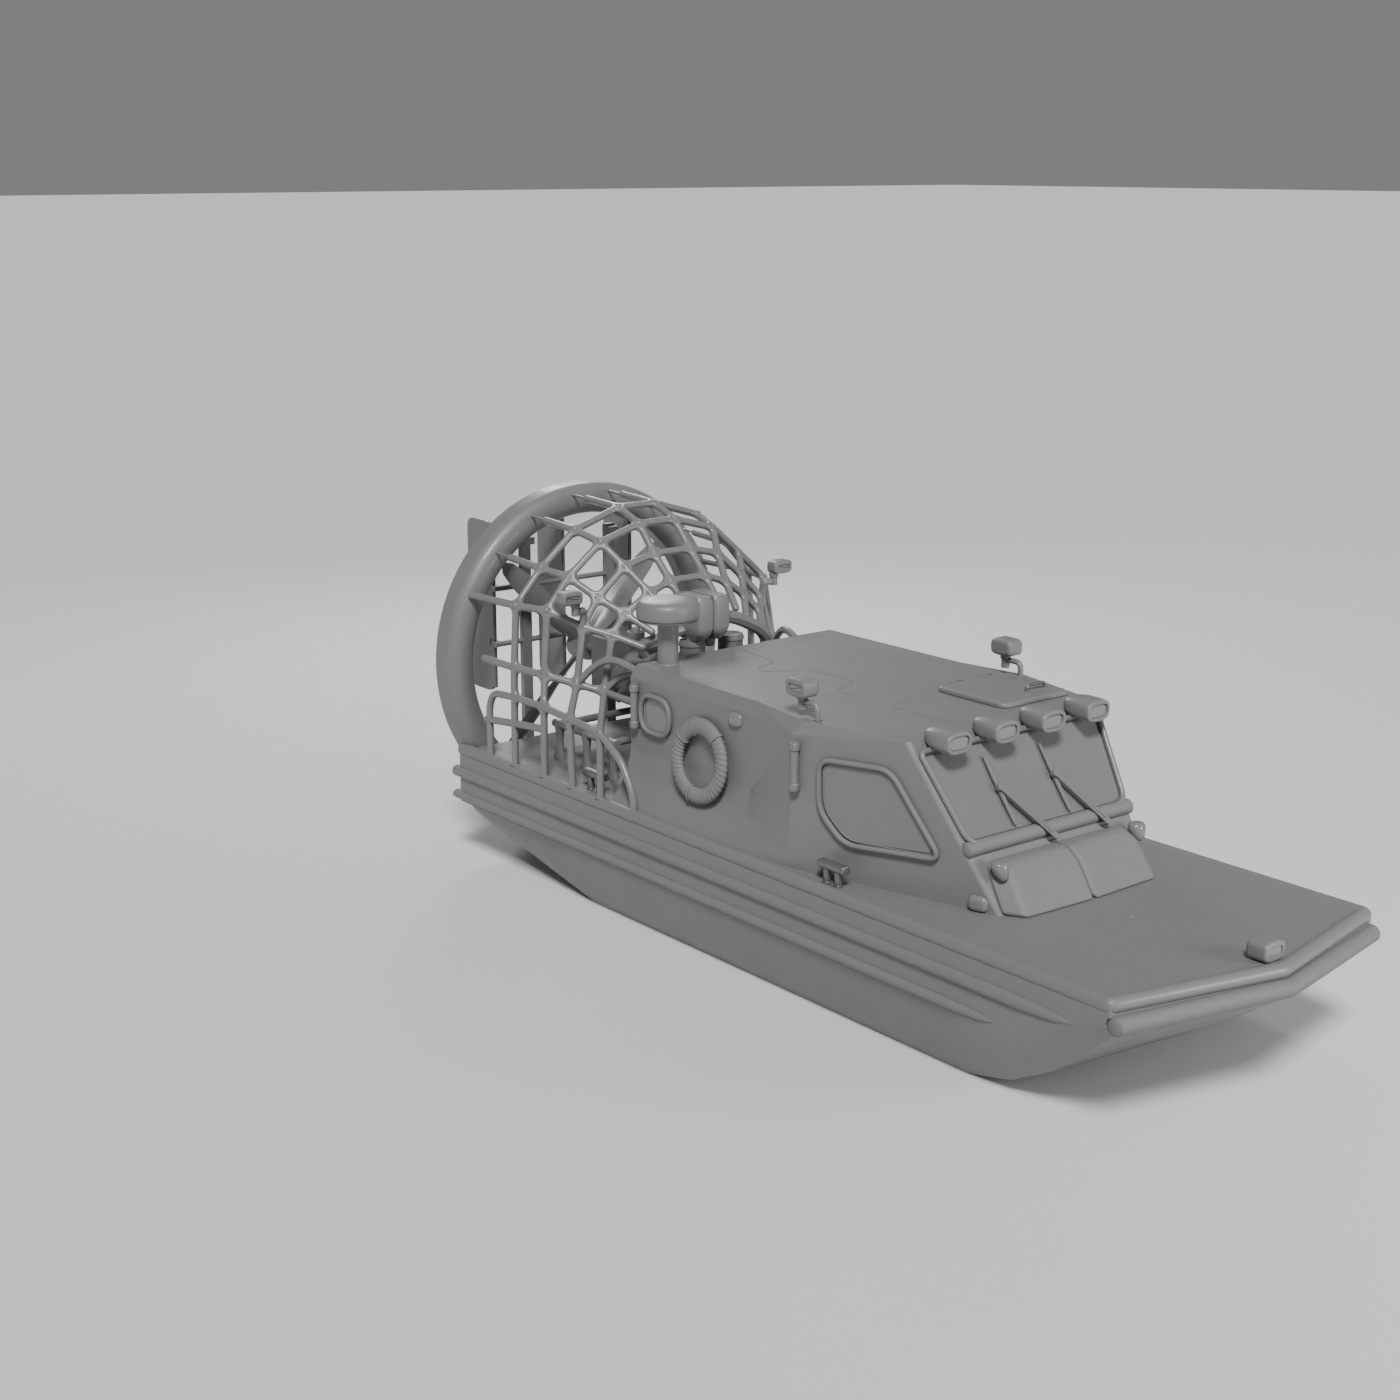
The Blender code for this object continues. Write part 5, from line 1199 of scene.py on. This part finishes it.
# %% Hatch and grip
HATCH = (0.665, 1.335, 0.205, 0.873)  # x low, x high, y low, y high
HATCH_Z, HATCH_THICK = ROOF + 0.005, 0.032
HATCH_AXIS = (0.651, 1.990)  # x, z
HATCH_SPOTS = (0.457, 0.764)
GRIP = (1.17, 0.60, 0.78)  # x, y low, y high
HATCH_CORNER, HATCH_EDGE, HATCH_BORDER = 0.065, 0.022, 0.030
LEAF_X, LEAF = 0.677, (0.038, 0.060, 0.016)


def top_face(bm):
    return max(bm.faces, key=lambda f: f.calc_center_median().z + f.calc_area())


def build_hatch():
    x0, x1, y0, y1 = HATCH
    bm = bmesh.new()
    middle = Matrix.Translation(((x0 + x1) / 2, (y0 + y1) / 2, HATCH_Z + HATCH_THICK / 2))
    size = Matrix.Diagonal((x1 - x0, y1 - y0, HATCH_THICK, 1))
    bmesh.ops.create_cube(bm, size=1.0, matrix=middle @ size)
    bevel(bm, [e for e in bm.edges if abs(e.verts[0].co.z - e.verts[1].co.z) > 0.01], HATCH_CORNER, 6)
    bevel(bm, list(top_face(bm).edges), HATCH_EDGE, 4)
    top = top_face(bm)
    bmesh.ops.inset_individual(bm, faces=[top], thickness=HATCH_BORDER, use_even_offset=True)
    bmesh.ops.inset_individual(bm, faces=[top], thickness=0.006, depth=-0.003, use_even_offset=True)
    make("hatch_plate", bm, "cabin", "roof_hatch", smooth=35.0, instead=("roof_hatch",))
    bm = bmesh.new()
    x, a, b = GRIP
    low, high = HATCH_Z + HATCH_THICK - 0.004, HATCH_Z + 0.070
    add_tubes(bm, [[(x, a, low), (x, a, high), (x, b, high), (x, b, low)]], 0.012, corner=0.032, fine=4)
    for y in (a, b):
        add_disc(bm, (x, y, HATCH_Z + HATCH_THICK), 0.020, 0.007, 0.002)
    for spot in HATCH_SPOTS:
        add_disc(bm, (HATCH_AXIS[0], spot, HATCH_AXIS[1]), 0.013, 0.060, 0.0015, up=(0, 1, 0), sides=20)
        leaf = Matrix.Translation((LEAF_X, spot, HATCH_AXIS[1] + 0.001))
        bmesh.ops.create_cube(bm, size=1.0, matrix=leaf @ Matrix.Diagonal((*LEAF, 1)))
    make("hatch_grip", bm, "deck_metal", "roof_hatch", smooth=40.0)


build_hatch()
print("hatch plate", [round(c, 3) for c in HATCH])

# %% [markdown]
# ## The roof's seam
# The roof is made of two skins whose joint wanders across it as a thin engraved line. Drawing it in the paint
# would slide under a low light, so a thin bead, half sunk in the roof, follows the joint's turns; its darker
# rubber finish is painted shade for the shadow in the engraved joint.

# %% The seam's bead, darker as painted shade
SEAM = (  # x, y of the joint's turns on the roof
    (-1.196, -0.058), (-0.699, -0.095), (-0.614, -0.373), (-0.479, -0.353), (-0.377, -0.123),
    (-0.240, -0.050), (0.143, -0.055), (0.238, -0.360), (0.450, -0.298), (0.498, -0.076),
    (0.700, -0.046), (0.800, -0.346), (1.043, -0.321), (1.100, -0.350), (1.384, -0.311), (1.449, -0.019),
)
bm = bmesh.new()
add_tubes(bm, [[(x, y, ROOF) for x, y in SEAM]], 0.0035, corner=0.11, fine=2)
# The bead's darker rubber finish is painted shade: it stands in for the shadow in the engraved joint.
make("roof_seam", bm, "cabin", finish="rubber", smooth=60.0)
print("seam turns", len(SEAM))

# %% [markdown]
# ## Turned pieces
# The mushroom over the air intake and the duct round the propeller are both turned about an axis.
# Stacked cones would leave a ridge at each step. So a few edges give the half profile, its inner
# corners are rounded, and a full spin with its seam merged gives the skin.


# %% The intake's mushroom
def turned(profile, centre, axis, steps):
    """Spin a closed or open profile of (radius, along) about an axis through the centre."""
    bm = bmesh.new()
    axis = Vector(axis)
    side = Vector((0, 0, 1)) if abs(axis.z) < 0.5 else Vector((1, 0, 0))
    verts = [bm.verts.new(Vector(centre) + side * r + axis * h) for r, h in profile]
    for pair in zip(verts, verts[1:]):
        bm.edges.new(pair)
    bmesh.ops.spin(bm, geom=bm.verts[:] + bm.edges[:], cent=centre, axis=axis, dvec=(0, 0, 0),
                   angle=math.tau, steps=steps, use_merge=True, use_duplicate=False)
    bmesh.ops.remove_doubles(bm, verts=bm.verts, dist=1e-5)
    bmesh.ops.recalc_face_normals(bm, faces=bm.faces)
    return bm


def soft_profile(points, radius, steps=4):
    """A profile whose inner corners are rounded."""
    flat = bend([(r, h, 0) for r, h in points], radius, steps=steps)
    return [(p.x, p.y) for p in flat]


INTAKE = (-1.149, -0.766, 1.9706)
CAP = ((0.0, 0.500), (0.150, 0.496), (0.236, 0.470), (0.236, 0.352), (0.215, 0.348))
LIP = ((0.215, 0.348), (0.224, 0.340), (0.216, 0.331), (0.095, 0.322), (0.079, 0.300), (0.078, 0.010),
       (0.088, 0.0))
make("intake_mushroom", turned(soft_profile(CAP, 0.050, 8) + list(LIP) + [(0.0, 0.0)], INTAKE, (0, 0, 1), 64),
     "lamp", smooth=35.0, instead=("air_intake",))
print("intake", INTAKE, "cap", 2 * CAP[2][0], "m across")

# %% [markdown]
# ## The duct
# The propeller turns inside a fat ring whose fore lip is a bell mouth, so that air enters it without
# a whirl. Its section is two quarter ovals with a rounded aft corner. The ring is turned whole, then
# cut level with the aft deck's well and closed there, as a shipwright would let it into the hull.

# %% The duct's ring
DUCT_X, SHAFT_Z, DUCT_HALF, DUCT_OUT, DUCT_IN = -3.323, 1.615, 0.140, 1.385, 1.130
DUCT_FLOOR = 0.4203
LIP_R, THROAT_H, SHOULDER_H = 1.262, 0.020, 0.030
AFT_R, CHAMFER = 0.045, 0.05
LIP_STEPS, AFT_STEPS = 12, 6


def quarter(steps, first=0):
    """The cosine and sine of evenly spaced steps through a right angle."""
    angles = [math.radians(90 * step / steps) for step in range(first, steps + 1)]
    return [(math.cos(a), math.sin(a)) for a in angles]


shape = [(DUCT_IN + CHAMFER, -DUCT_HALF), (DUCT_OUT - AFT_R, -DUCT_HALF)]
shape += [(DUCT_OUT - AFT_R * (1 - s), -DUCT_HALF + AFT_R * (1 - c)) for c, s in quarter(AFT_STEPS, 1)]
shape += [(LIP_R + (DUCT_OUT - LIP_R) * c, SHOULDER_H + (DUCT_HALF - SHOULDER_H) * s)
          for c, s in quarter(LIP_STEPS)]
shape += [(LIP_R - (LIP_R - DUCT_IN) * s, THROAT_H + (DUCT_HALF - THROAT_H) * c)
          for c, s in quarter(LIP_STEPS, 1)]
shape += [(DUCT_IN, -DUCT_HALF + CHAMFER), shape[0]]
bm = turned(shape, (DUCT_X, 0, SHAFT_Z), (1, 0, 0), 144)
bmesh.ops.bisect_plane(bm, geom=bm.verts[:] + bm.edges[:] + bm.faces[:], dist=1e-5,
                       plane_co=(0, 0, DUCT_FLOOR), plane_no=(0, 0, 1), clear_inner=True)
bmesh.ops.holes_fill(bm, edges=[e for e in bm.edges if e.is_boundary], sides=0)
bmesh.ops.recalc_face_normals(bm, faces=bm.faces)
make("duct_ring", bm, "duct", smooth=40.0, instead=("duct",))
print("duct", 2 * DUCT_OUT, "m across")

# %% [markdown]
# ## Sizes
# The dressed boat stays inside the solids' own box.
